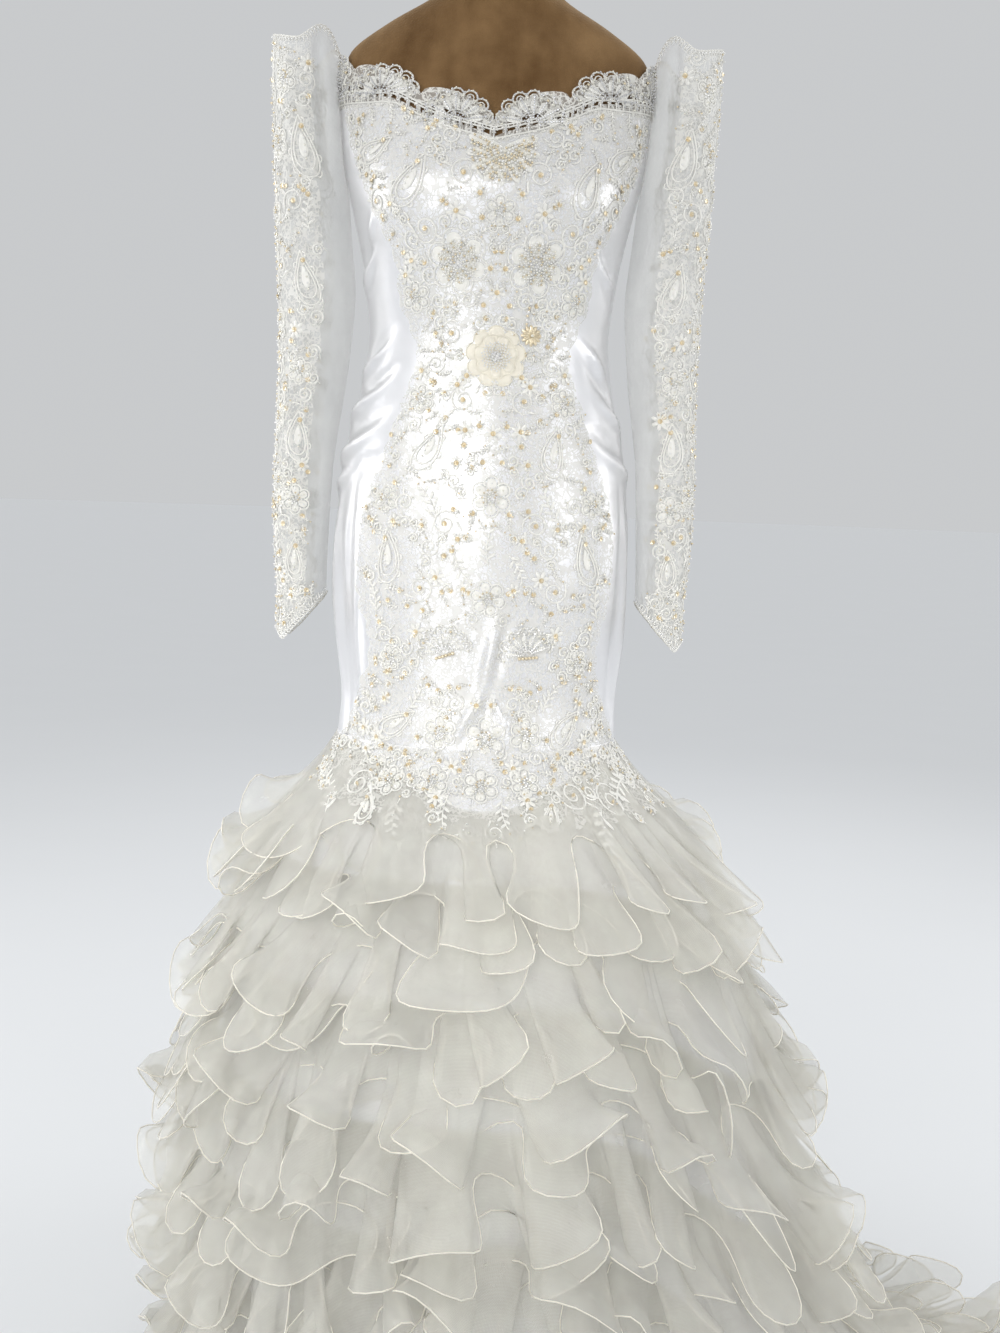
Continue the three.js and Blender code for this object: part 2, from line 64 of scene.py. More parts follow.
# The figure that the gown's outside follows
FIGURE = table(
    "z side front back",
    (700, 150, 120, 128),
    (745, 147, 112, 122),
    (800, 151, 112, 126),
    (860, 155.5, 113, 130),
    (915, 156.5, 111, 129),
    (960, 152.5, 106, 121),
    (1010, 146, 99, 109),
    (1060, 134, 91, 97),
    (1120, 126.5, 86, 89),
    (1160, 130, 92, 90),
    (1200, 136, 104, 93),
    (1240, 145, 117, 96),
    (1270, 152, 118, 97),
    (1300, 158, 108, 97),
    (1345, 162, 91, 93),
    (1385, 163, 77, 86),
    (1408, 155, 68, 80),
    (1434, 122, 60, 72),
    (1464, 72, 54, 64),
    (1490, 58, 53, 58),
    (1560, 55, 54, 55),
)
CUP = {"angle": 36, "height": 1242, "rise": 9, "wide": 20, "tall": 38}
KNEE = 700

# The satin's top edge and the dips between the lace scallops over it
SATIN_EDGE = table(
    "angle z",
    (0, 1302),
    (17, 1315),
    (27, 1327),
    (38, 1341),
    (50, 1344),
    (90, 1350),
    (135, 1342),
    (180, 1334),
)
SCALLOPS = table(
    "angle z", (0, 1324), (27, 1351), (62, 1380), (95, 1386), (120, 1370), (150, 1356), (180, 1350)
)
SCALLOP_RISE = 15

# One sleeve in section, its upper edge and the point of its cuff
SLEEVE = table(
    "z inner outer depth",
    (1405, 164, 231, 58),
    (1375, 162, 231, 62),
    (1335, 158, 229, 62),
    (1285, 152, 227, 58),
    (1220, 147, 225, 50),
    (1160, 143, 222, 46),
    (1095, 149, 221, 45),
    (1025, 158, 222, 44),
    (955, 163, 223, 41),
    (900, 165, 222, 38),
    (852, 166, 218, 36),
)
SLEEVE_TOP = table("turn z", (0, 1421), (50, 1409), (90, 1405), (130, 1420), (180, 1397))
SLEEVE_POINT = {"x": 210, "drop": 52}

# The bell of the underskirt and the train's pull on each height
BELL = table(
    "z side front back pull",
    (700, 150, 120, 128, 0),
    (665, 164, 141, 150, 8),
    (625, 187, 171, 181, 18),
    (580, 213, 203, 213, 26),
    (520, 239, 231, 241, 30),
    (440, 262, 253, 264, 34),
    (350, 275, 268, 280, 48),
    (250, 283, 278, 291, 76),
    (150, 286, 283, 297, 114),
    (60, 286, 284, 299, 158),
    (2, 285, 284, 300, 210),
)
TRAIN = {"angle": 75, "spread": 30, "length": 330, "hem": 14}

# Flounces, top down: where each is sewn on and where its hem falls, as shares of the way down
# the underskirt, how many lobes its hem has, and how far it stands and swings off the skirt there
FLOUNCES = table(
    "sewn hem lobes stand swing",
    (0.002, 0.24, 22, 27, 19),
    (0.19, 0.41, 25, 33, 21),
    (0.345, 0.57, 27, 35, 22),
    (0.5, 0.715, 29, 36, 22),
    (0.645, 0.85, 31, 34, 21),
    (0.78, 0.99, 32, 28, 18),
)
# Each flounce's three layers: name, share of its depth, how many lobes fewer, and share of its stand
LAYERS = table(
    "name share fewer close",
    ("under", 1.0, 0, 0.9),
    ("middle", 0.8, 2, 1.0),
    ("over", 0.58, 4, 0.95),
)
# A layer is cut as a curved strip
# How a flounce's cloth bends: radius and longest turn of a lobe's curled hem, how far a hem rises
# and falls, and the depth of the gathers at the seam and of the crumples below them
BEND = {"radius": 13, "turn": 3.4, "hang": 33, "gather": 1.3, "crumple": 2.4}
QUARTERS = ("front_left", "back_left", "back_right", "front_right")

# Creases in the satin: place, half length, half width, depth and tilt of each
CREASES = table(
    "angle z reach width depth tilt",
    (-66, 1200, 26, 7, -2.0, 48),
    (-70, 1178, 24, 6, 2.6, 44),
    (-60, 1216, 20, 5, 2.0, 50),
    (-64, 1102, 24, 5, -1.9, 34),
    (-68, 1086, 26, 6, 2.6, 32),
    (-60, 1066, 30, 6, -2.0, 30),
    (-70, 1046, 34, 8, 3.0, 28),
    (-64, 1022, 36, 8, -2.1, 26),
    (-72, 1000, 38, 9, 2.8, 24),
    (-58, 982, 30, 8, -2.0, 20),
    (-76, 968, 34, 8, 2.2, 22),
    (62, 1194, 22, 6, -2.0, -42),
    (66, 1176, 20, 5, 2.4, -40),
    (60, 1096, 26, 6, 2.4, -38),
    (66, 1066, 28, 6, -2.0, -36),
    (70, 1042, 28, 7, 2.6, -34),
    (64, 1012, 30, 8, -2.1, -28),
    (72, 990, 32, 9, 2.4, -24),
    (-62, 870, 70, 5, -1.8, 88),
    (-54, 800, 80, 6, 2.2, 90),
    (-68, 790, 84, 6, -2.0, 92),
    (-76, 840, 90, 8, 2.4, 90),
    (70, 850, 80, 6, -1.8, 90),
    (78, 800, 90, 7, 2.2, 92),
    (5, 792, 36, 5, 2.6, 82),
    (9, 800, 26, 4, -1.8, 80),
    (-3, 732, 20, 4, 2.2, 62),
    (12, 730, 20, 4, 2.2, -62),
    (4, 738, 18, 4, -1.8, 86),
    (134, 1088, 42, 8, 2.4, 24),
    (142, 1058, 46, 9, -2.0, 20),
    (138, 1028, 44, 9, 2.6, 16),
    (-136, 1092, 40, 8, 2.2, -22),
    (-146, 1062, 46, 8, -2.1, -20),
    (-140, 1030, 46, 9, 2.6, -15),
    (158, 1110, 30, 6, -1.8, 40),
    (-162, 1104, 30, 6, 2.0, -38),
    (128, 800, 84, 8, 2.2, 88),
    (148, 770, 80, 9, -2.1, 92),
    (-130, 790, 86, 8, 2.2, 92),
    (-152, 780, 80, 9, -2.1, 88),
)

# Half the width of the lace on the trunk, round from its own centre line
LACE_CENTRE = 3.5
LACE_AREA = table(
    "z half",
    (700, 74),
    (725, 66),
    (760, 55),
    (800, 50),
    (850, 55),
    (900, 56),
    (956, 53),
    (1010, 44),
    (1056, 40),
    (1090, 35),
    (1120, 40),
    (1150, 47),
    (1186, 47),
    (1220, 52),
    (1260, 60),
    (1300, 68),
    (1352, 76),
)
# Main motifs of the trunk's lace: how far round from its centre line, height, size and turn.
# All but those on the line are on both sides.
TRUNK_MOTIFS = table(
    "kind across z size turn",
    ("crest", 0, 1292, 37, 180),
    ("blossom", 0, 1233, 15, 0),
    ("daisy", 12, 1076, 8, 0),
    ("blossom", 0, 956, 20, 0),
    ("blossom", 0, 854, 18, 15),
    ("blossom", 1, 712, 21, 0),
    ("daisy", 0, 1158, 9, 0),
    ("daisy", 0, 1019, 10, 0),
    ("sprig", 0, 905, 20, 0),
    ("blossom", 17, 1186, 30, 10),
    ("fan", 16, 798, 29, 12),
    ("paisley", 34, 1262, 30, 155),
    ("paisley", 52, 1296, 24, 120),
    ("paisley", 25, 1004, 26, 160),
    ("paisley", 40, 894, 28, 190),
    ("blossom", 38, 1153, 15, 0),
    ("blossom", 32, 1052, 14, 0),
    ("blossom", 39, 789, 13, 20),
    ("blossom", 43, 950, 13, 0),
    ("blossom", 17, 716, 17, 0),
    ("paisley", 36, 722, 24, 130),
    ("daisy", 17, 1232, 10, 0),
    ("scroll", 14, 1268, 15, 20),
    ("scroll", 30, 1216, 14, 200),
    ("scroll", 20, 1118, 13, 60),
    ("scroll", 13, 1052, 13, 100),
    ("scroll", 17, 928, 14, 20),
    ("scroll", 26, 862, 14, 240),
    ("scroll", 52, 1244, 13, 40),
    ("sprig", 24, 948, 20, 30),
    ("sprig", 10, 884, 17, 210),
    ("sprig", 48, 850, 18, 10),
    ("sprig", 28, 752, 18, 330),
)
# The cream rose at the waist, and the gold shell beside it
ROSE = {"angle": LACE_CENTRE + 0.5, "z": 1096.0, "size": 31}
SHELL = {"angle": 20.0, "z": 1118.0, "size": 11}
# Motifs on one sleeve: turn from its outer side, height, size and turn
SLEEVE_MOTIFS = table(
    "kind across z size turn",
    ("blossom", 62, 1366, 15, 0),
    ("daisy", 22, 1392, 11, 0),
    ("daisy", 104, 1380, 10, 0),
    ("paisley", 86, 1300, 30, 180),
    ("blossom", 40, 1306, 17, 0),
    ("scroll", 66, 1248, 13, 30),
    ("blossom", 24, 1240, 13, 0),
    ("sprig", 92, 1234, 17, 0),
    ("paisley", 80, 1172, 28, 185),
    ("scroll", 34, 1186, 12, 120),
    ("blossom", 26, 1132, 12, 0),
    ("daisy", 66, 1120, 10, 0),
    ("scroll", 30, 1080, 12, 200),
    ("blossom", 78, 1078, 13, 0),
    ("blossom", 34, 1030, 14, 0),
    ("paisley", 82, 1012, 26, 175),
    ("blossom", 40, 964, 13, 0),
    ("blossom", 84, 946, 15, 0),
    ("scroll", 58, 920, 12, 60),
    ("sprig", 36, 906, 16, 10),
    ("paisley", 80, 884, 22, 170),
    ("daisy", 52, 860, 9, 0),
)
# Where lace motifs run on over the top flounce: angle, share of the way down the skirt, size and turn
SKIRT_MOTIFS = table(
    "kind across share size turn",
    ("sprig", -62, 0.06, 20, 60),
    ("sprig", -52, 0.085, 22, 40),
    ("scroll", -42, 0.06, 16, 20),
    ("blossom", -30, 0.05, 15, 0),
    ("paisley", -34, 0.09, 17, 200),
    ("sprig", -23, 0.1, 20, 190),
    ("blossom", -14, 0.045, 16, 0),
    ("sprig", -8, 0.085, 18, 175),
    ("blossom", 3, 0.05, 18, 0),
    ("sprig", 11, 0.09, 18, 185),
    ("blossom", 19, 0.045, 15, 0),
    ("paisley", 26, 0.09, 17, 165),
    ("scroll", 36, 0.06, 16, 200),
    ("sprig", 42, 0.105, 24, 160),
    ("scroll", 50, 0.065, 18, 40),
    ("sprig", 58, 0.05, 22, 120),
    ("blossom", 66, 0.03, 13, 0),
)

# Buttons down the back, which stand beside its centre seam, where the back has this radius
BUTTONS = {"count": 10, "radius": 6, "top": 1316, "pitch": 27, "beside": 8, "back": 128}
# One button from its top down: share of its radius, and height
BUTTON_PROFILE = table(
    "radius height",
    (0.0, 5.0),
    (0.5, 4.7),
    (0.8, 3.6),
    (1.0, 2.2),
    (0.95, 1.0),
    (0.7, 0.3),
    (0.0, 0.2),
)

# Lamps and camera, in metres, watts, degrees of spread and millimetres of lens
LAMPS = table(
    "name place aim size power spread",
    ("key", (-1.8, -2.4, 2.2), (0, 0, 0.9), 1.3, 18, 180),
    ("fill", (2.4, -1.9, 1.5), (0, 0, 0.8), 1.3, 9, 180),
    ("low", (-0.9, -2.5, 0.35), (0, 0, 0.3), 1.5, 8, 180),
    ("skirt", (-0.4, -2.2, 1.5), (0, -0.1, 0.68), 0.7, 0.7, 38),
    ("left", (-2.3, 0.5, 1.5), (0, 0, 0.9), 1.5, 21, 180),
    ("right", (2.5, 0.7, 1.5), (0, 0, 0.9), 1.5, 19, 180),
    ("back", (0.6, 2.6, 2.4), (0, 0, 0.8), 1.8, 14, 180),
)
SKY = {"colour": (0.52, 0.53, 0.54), "strength": 1.12}
CAMERA = {
    "place": (0.024, -1.62, 0.971),
    "rise": math.radians(83),
    "lean": math.radians(2),
    "lens": 1500 / 1333 * 36,
}


def length(name, description, size, least, most):
    """A property for a small length, given here in millimetres."""
    return bpy.props.FloatProperty(
        name=name,
        description=description,
        default=size * MM,
        min=least * MM,
        max=most * MM,
        precision=4,
        subtype="DISTANCE",
        unit="LENGTH",
    )


def strength(name, description, most):
    """A property that scales a bend of the cloth."""
    return bpy.props.FloatProperty(
        name=name, description=description, default=1.0, min=0.0, max=most, subtype="FACTOR"
    )


def shade(name, description, red, green, blue):
    """A colour property."""
    return bpy.props.FloatVectorProperty(
        name=name,
        description=description,
        default=(red, green, blue),
        subtype="COLOR",
        min=0.0,
        max=1.0,
        size=3,
    )


class GownSizes(bpy.types.PropertyGroup):
    """Sizes of the gown's finer work."""

    thread: length("Thread", "Width of an embroidered cord", 1.7, 0.8, 4.0)
    thread_rise: length("Thread rise", "Height of an embroidered cord", 1.1, 0.3, 3.0)
    hem_cord: length("Hem cord", "Radius of a flounce's rolled hem", 0.8, 0.5, 3.0)
    bead: length("Bead", "Radius of a small bead", 1.15, 0.5, 3.0)
    sequin: length("Sequin", "Radius of a sequin", 2.7, 1.0, 5.0)
    swing: strength("Flounce swing", "How strongly the flounces' hems wander", 1.5)
    crease: strength("Satin creases", "Depth of the satin's creases", 1.0)


class GownColours(bpy.types.PropertyGroup):
    """Colours of the gown's cloth, thread and beads."""

    satin: shade("Satin", "White satin", 0.87, 0.87, 0.885)
    thread: shade("Thread", "Embroidery thread", 0.88, 0.865, 0.815)
    net: shade("Net", "Sheer net of the sleeves", 0.9, 0.9, 0.88)
    organza: shade("Organza", "Sheer organza of the flounces", 0.985, 0.94, 0.85)
    hem: shade("Hem", "Rolled hems", 0.9, 0.86, 0.76)
    petal: shade("Petal", "Petals of the rose", 0.87, 0.82, 0.7)
    gold: shade("Gold", "Gold beads and sequins", 0.84, 0.72, 0.51)
    pearl: shade("Pearl", "Pearls", 0.86, 0.82, 0.72)
    crystal: shade("Crystal", "Silver crystals", 0.95, 0.93, 0.87)
    silver: shade("Silver", "Silver crystals of the yoke", 0.8, 0.8, 0.81)
    cover: shade("Cover", "Napped cover of the dress form", 0.125, 0.064, 0.022)
    cover_worn: shade("Worn cover", "Lighter, rubbed nap", 0.27, 0.16, 0.07)
    wood: shade("Wood", "Cap of the dress form", 0.2, 0.1, 0.045)
    metal: shade("Metal", "Stand", 0.03, 0.03, 0.032)
    floor: shade("Floor", "Plain floor", 0.5, 0.51, 0.52)


class Value:
    """A material's socket. Arithmetic on it adds the nodes that work it out."""

    def __init__(self, finish, socket):
        self.finish = finish
        self.socket = socket

    def maths(self, operation, *values):
        return self.finish.node("ShaderNodeMath", {"operation": operation}, dict(enumerate(values)))

    def __add__(self, other):
        return self.maths("ADD", self, other)

    __radd__ = __add__

    def __sub__(self, other):
        return self.maths("SUBTRACT", self, other)

    def __rsub__(self, other):
        return self.maths("SUBTRACT", other, self)

    def __mul__(self, other):
        return self.maths("MULTIPLY", self, other)

    __rmul__ = __mul__

    def sine(self):
        return self.maths("SINE", self)

    def over(self, limit):
        """1 where the value is more than the limit, 0 elsewhere."""
        return self.maths("GREATER_THAN", self, limit)


class Finish:
    """A material on one Principled shader, and the nodes that feed it."""

    def __init__(self, name, **sockets):
        self.material = bpy.data.materials.new(name)
        self.material.use_nodes = True
        self.tree = self.material.node_tree
        self.shader = self.tree.nodes["Principled BSDF"]
        self.set(**sockets)

    def set(self, **sockets):
        for name, value in sockets.items():
            self.feed(self.shader.inputs[name.replace("_", " ")], value)

    def feed(self, socket, value):
        if isinstance(value, Value):
            self.tree.links.new(value.socket, socket)
        elif hasattr(value, "__len__") and len(value) == 3 and socket.type == "RGBA":
            socket.default_value = (*value, 1)
        else:
            socket.default_value = value

    def node(self, kind, settings, inputs, output=0):
        made = self.tree.nodes.new(kind)
        for name, value in settings.items():
            setattr(made, name, value)
        for name, value in inputs.items():
            self.feed(made.inputs[name], value)
        return Value(self, made.outputs[output])

    def place(self):
        """Position in the object's own space, in metres."""
        return self.node("ShaderNodeTexCoord", {}, {}, "Object")

    def flat(self):
        """The two directions of the cloth laid flat, in metres."""
        laid = self.node("ShaderNodeUVMap", {"uv_map": "flat"}, {})
        apart = self.tree.nodes.new("ShaderNodeSeparateXYZ")
        self.feed(apart.inputs[0], laid)
        return Value(self, apart.outputs[0]), Value(self, apart.outputs[1])

    def noise(self, scale, detail=2.0, vector=None):
        inputs = {"Vector": vector or self.place(), "Scale": scale, "Detail": detail}
        return self.node("ShaderNodeTexNoise", {}, inputs, "Fac")

    def stretched(self, x, y, z):
        settings = {"operation": "MULTIPLY"}
        return self.node("ShaderNodeVectorMath", settings, {0: self.place(), 1: (x, y, z)})

    def blend(self, share, first, second):
        settings = {"data_type": "RGBA", "clamp_factor": True}
        return self.node("ShaderNodeMix", settings, {0: share, 6: (*first, 1), 7: (*second, 1)}, 2)

    def bump(self, height, distance, strength=1.0):
        inputs = {"Height": height, "Distance": distance, "Strength": strength}
        self.set(Normal=self.node("ShaderNodeBump", {}, inputs))


def millimetres(name):
    """One of the gown's finer sizes, in millimetres."""
    return getattr(bpy.context.scene.gown_sizes, name) / MM


def tint(colour, by):
    """A colour made lighter or darker."""
    return tuple(min(1.0, channel * by) for channel in colour)


def satin_finish(name, colour, gloss):
    finish = Finish(name, Metallic=gloss, Specular_IOR_Level=0.6)
    soft = finish.noise(9, 2)
    finish.set(Base_Color=finish.blend(soft, tint(colour, 0.97), tint(colour, 1.03)))
    finish.set(Roughness=0.26 + 0.12 * finish.noise(60, 3))
    weave = finish.noise(1.0, 1, finish.stretched(700, 700, 2600))
    finish.bump(finish.noise(22, 2) + 0.03 * weave, 0.002, 0.6)
    return finish.material


def thread_finish(name, colour):
    finish = Finish(name, Roughness=0.42, Sheen_Weight=0.25, Sheen_Roughness=0.4, Specular_IOR_Level=0.45)
    finish.set(Base_Color=finish.blend(finish.noise(55, 3), tint(colour, 0.9), tint(colour, 1.08)))
    finish.bump(finish.noise(1.0, 2, finish.stretched(2200, 1400, 900)), 0.0005, 0.6)
    return finish.material


def lace_ground_finish(name, colour, film, stitched):
    """Net with curling stitched lines and small filled leaves between the motifs."""
    finish = Finish(name, Roughness=0.55, Sheen_Weight=0.2)
    lines = 0.0
    for scale, width in ((62, 0.022), (108, 0.03), (190, 0.035)):
        level = finish.noise(scale, 1) - 0.5
        near = 1 - level.maths("ABSOLUTE", level).over(width)
        lines = near.maths("MAXIMUM", near, lines)
    filled = finish.noise(120, 2).over(0.61)
    worked = lines.maths("MAXIMUM", lines, filled)
    finish.set(Base_Color=finish.blend(finish.noise(40, 2), tint(colour, 0.96), tint(colour, 1.06)))
    finish.set(Alpha=film + stitched * worked)
    finish.bump(worked, 0.0007, 0.6)
    return finish.material


def net_finish(name, colour, film, threads):
    """Fine net: a sheer film with the crossing threads a little denser."""
    finish = Finish(name, Roughness=0.32, Sheen_Weight=0.5, Sheen_Roughness=0.4, Specular_IOR_Level=0.7)
    across, down = finish.flat()
    grid = (across * 5200).sine().maths("MAXIMUM", (across * 5200).sine(), (down * 5200).sine())
    cloud = finish.noise(30, 3)
    finish.set(Base_Color=finish.blend(cloud, tint(colour, 0.94), tint(colour, 1.06)))
    finish.set(Alpha=film + threads * grid.over(0.55) + 0.12 * cloud)
    finish.bump(0.04 * grid + finish.noise(38, 4), 0.006, 0.7)
    return finish.material


def hem_finish(name, colour):
    finish = Finish(name, Roughness=0.32, Specular_IOR_Level=0.55, Sheen_Weight=0.2)
    finish.set(Base_Color=finish.blend(finish.noise(70, 2), tint(colour, 0.95), tint(colour, 1.06)))
    finish.bump(finish.noise(900, 1), 0.0003, 0.5)
    return finish.material


def bead_finish(name, colour, metallic, roughness, coat):
    finish = Finish(name, Roughness=roughness, Coat_Weight=coat, Coat_Roughness=0.06, Specular_IOR_Level=0.7)
    finish.set(Metallic=metallic)
    finish.set(Base_Color=finish.blend(finish.noise(240, 1), tint(colour, 0.75), tint(colour, 1.2)))
    return finish.material


def cover_finish(name, colour, worn):
    """Napped cover with brushed clouds and a rubbed, lighter nap."""
    finish = Finish(name, Roughness=0.85, Sheen_Weight=0.4, Sheen_Roughness=0.4, Specular_IOR_Level=0.2)
    finish.shader.inputs["Sheen Tint"].default_value = (0.85, 0.65, 0.42, 1)
    clouds = finish.noise(13, 5)
    brushed = finish.noise(1.0, 3, finish.stretched(60, 60, 18))
    share = clouds * 2.6 + 0.8 * brushed - 1.32
    finish.set(Base_Color=finish.blend(share, colour, worn))
    finish.bump(finish.noise(420, 4) + 0.9 * clouds, 0.0016, 0.6)
    return finish.material


def wood_finish(name, colour):
    finish = Finish(name, Coat_Weight=0.3, Coat_Roughness=0.2)
    grain = finish.noise(1.0, 4, finish.stretched(14, 150, 20))
    finish.set(Base_Color=finish.blend(grain, tint(colour, 0.6), tint(colour, 1.5)))
    finish.set(Roughness=0.3 + 0.25 * grain)
    finish.bump(grain, 0.0004, 0.4)
    return finish.material


def metal_finish(name, colour):
    finish = Finish(name, Specular_IOR_Level=0.5)
    mottle = finish.noise(160, 3)
    finish.set(Base_Color=finish.blend(mottle, tint(colour, 0.8), tint(colour, 1.3)))
    finish.set(Roughness=0.34 + 0.2 * mottle)
    finish.bump(mottle, 0.0002, 0.3)
    return finish.material


def floor_finish(name, colour):
    finish = Finish(name, Roughness=0.9, Specular_IOR_Level=0.1, Emission_Strength=0.57)
    finish.set(Emission_Color=colour)
    finish.set(Base_Color=finish.blend(finish.noise(3, 3), tint(colour, 0.985), tint(colour, 1.015)))
    return finish.material


FINISHES = {}


def finish(name):
    """A named finish, made when it is first asked for."""
    if name in FINISHES:
        return FINISHES[name]
    colours = bpy.context.scene.gown_colours
    makers = {
        "satin": lambda: satin_finish(name, tuple(colours.satin), 0.56),
        "lining_satin": lambda: satin_finish(name, tuple(colours.satin), 0.12),
        "thread": lambda: thread_finish(name, tuple(colours.thread)),
        "lace_ground": lambda: lace_ground_finish(name, tuple(colours.thread), 0.08, 0.5),
        "yoke_net": lambda: lace_ground_finish(name, tuple(colours.thread), 0.34, 0.5),
        "sleeve_net": lambda: net_finish(name, tuple(colours.net), 0.26, 0.16),
        "organza": lambda: net_finish(name, tuple(colours.organza), 0.23, 0.1),
        "hem": lambda: hem_finish(name, tuple(colours.hem)),
        "petal": lambda: thread_finish(name, tuple(colours.petal)),
        "gold": lambda: bead_finish(name, tuple(colours.gold), 0.5, 0.26, 0.4),
        "pearl": lambda: bead_finish(name, tuple(colours.pearl), 0.0, 0.2, 0.8),
        "crystal": lambda: bead_finish(name, tuple(colours.crystal), 0.0, 0.12, 0.8),
        "silver": lambda: bead_finish(name, tuple(colours.silver), 0.6, 0.12, 1.0),
        "cover": lambda: cover_finish(name, tuple(colours.cover), tuple(colours.cover_worn)),
        "wood": lambda: wood_finish(name, tuple(colours.wood)),
        "metal": lambda: metal_finish(name, tuple(colours.metal)),
        "floor": lambda: floor_finish(name, tuple(colours.floor)),
    }
    FINISHES[name] = makers[name]()
    return FINISHES[name]


def along(rows, key, at, column):
    """Value of a table's column at a key, on a smooth curve through its rows."""
    order = np.argsort(rows[key])
    keys, values = rows[key][order].astype(float), rows[column][order].astype(float)
    at = np.asarray(at, float)
    i = np.clip(np.searchsorted(keys, at, side="right") - 1, 0, len(keys) - 2)
    before, after = np.maximum(i - 1, 0), np.minimum(i + 2, len(keys) - 1)
    span = keys[i + 1] - keys[i]
    start = (values[i + 1] - values[before]) / (keys[i + 1] - keys[before])
    end = (values[after] - values[i]) / (keys[after] - keys[i])
    t = np.clip((at - keys[i]) / span, 0, 1)
    keep = 2 * t**3 - 3 * t**2 + 1
    bend = (t**3 - 2 * t**2 + t) * start + (t**3 - t**2) * end
    return keep * values[i] + (1 - keep) * values[i + 1] + span * bend


def wrapped(angle):
    return (np.asarray(angle, float) + 180) % 360 - 180


def smooth(value, low, high):
    t = np.clip((value - low) / (high - low), 0, 1)
    return t * t * (3 - 2 * t)


def wander(at, count, seed):
    """A smooth value from -1 to 1, new at each whole number, that comes round after a count of them."""
    turns = np.random.default_rng(seed).uniform(-1, 1, count)
    whole = np.floor(at).astype(int)
    t = at - whole
    t = t * t * (3 - 2 * t)
    return turns[whole % count] * (1 - t) + turns[(whole + 1) % count] * t


def oval(angle, z, side, front, back, out):
    turn = np.radians(angle)
    depth = np.where(np.cos(turn) > 0, front, back)
    return np.stack([(side + out) * np.sin(turn), -(depth + out) * np.cos(turn), z + 0 * turn], -1)


def figure(angle, z, out=0.0):
    """The figure's surface, moved out."""
    angle, z = np.broadcast_arrays(np.asarray(angle, float), np.asarray(z, float))
    across = (np.abs(wrapped(angle)) - CUP["angle"]) / CUP["wide"]
    up = (z - CUP["height"]) / CUP["tall"]
    cup = np.where(np.cos(np.radians(angle)) > 0, CUP["rise"] * np.exp(-(across**2) - up**2), 0)
    side, front, back = (along(FIGURE, "z", z, name) for name in ("side", "front", "back"))
    return oval(angle, z, side, front, back, out + cup)


def satin_crease(angle, z):
    """How far the satin stands out of the figure at its creases."""
    deep = 0.0
    for a, height, reach, width, depth, tilt in zip(*CREASES.values()):
        across, up = wrapped(angle - a) * 2.3, z - height
        turn = math.radians(tilt)
        run = across * math.cos(turn) + up * math.sin(turn)
        off = up * math.cos(turn) - across * math.sin(turn)
        deep = deep + depth * np.exp(-((off / width) ** 2) - (run / reach) ** 2)
    edge = np.clip((satin_edge(angle) - z) / 30, 0, 1)
    return bpy.context.scene.gown_sizes.crease * np.clip(3.0 * deep, -2.5, 9.0) * edge


def satin_edge(angle):
    return along(SATIN_EDGE, "angle", np.abs(wrapped(angle)), "z")


def scallop_edge(angle):
    place = np.abs(wrapped(angle))
    dips, heights = SCALLOPS["angle"], SCALLOPS["z"]
    i = np.clip(np.searchsorted(dips, place, side="right") - 1, 0, len(dips) - 2)
    share = (place - dips[i]) / (dips[i + 1] - dips[i])
    dip = heights[i] + (heights[i + 1] - heights[i]) * share
    return dip + SCALLOP_RISE * np.sqrt(np.sin(np.pi * np.clip(share, 0, 1)))


def trunk(angle, z, out=0.0):
    """The satin's surface on the figure, creases and all."""
    return figure(angle, z, out + satin_crease(angle, z))


def sleeve(turn, z, out=0.0, side=1):
    """A sleeve's surface: turn 0 is its outer side, and negative turns are in front."""
    turn, z = np.broadcast_arrays(np.asarray(turn, float), np.asarray(z, float))
    way = np.radians(turn)
    inner, outer, depth = (along(SLEEVE, "z", z, name) for name in ("inner", "outer", "depth"))
    soft = 1.5 * np.sin(way * 3 + z / 61) + 1.1 * np.sin(way * 5 - z / 37) * np.sin(z / 90)
    soft = soft * np.clip((1400 - z) / 60, 0, 1) * (0.35 + 0.65 * (np.cos(way) < 0.5))
    pinch = np.exp(-(((np.abs(wrapped(turn)) - 124) / 9) ** 2)) * smooth(z, 1240, 1330)
    soft = soft - 8 * pinch * np.clip((1425 - z) / 30, 0, 1)
    x = (outer + inner) / 2 + ((outer - inner) / 2 + out + soft) * np.cos(way)
    y = (depth + out + soft) * np.sin(way)
    height = np.minimum(z, 1400)
    wide = along(FIGURE, "z", height, "side")
    deep = np.where(y < 0, along(FIGURE, "z", height, "front"), along(FIGURE, "z", height, "back"))
    inside = wide * np.sqrt(np.clip(1 - (y / deep) ** 2, 0, 1)) * (np.abs(y) < deep)
    return np.stack([side * np.maximum(x, inside + 1 + 0.3 * out), y, z], -1)


def sleeve_rows(turn):
    """Heights of a sleeve's upper edge and of its slanting cuff."""
    top = along(SLEEVE_TOP, "turn", np.abs(wrapped(turn)), "z")
    inner, outer, cuff = (SLEEVE[name][-1] for name in ("inner", "outer", "z"))
    x = (outer + inner) / 2 + (outer - inner) / 2 * np.cos(np.radians(turn))
    reach = (x - inner) / (SLEEVE_POINT["x"] - inner)
    return top, cuff - SLEEVE_POINT["drop"] * np.where(reach > 1, 2 - reach, np.maximum(reach, 0))


def train_share(angle):
    return np.exp(-((wrapped(angle - TRAIN["angle"]) / TRAIN["spread"]) ** 2))


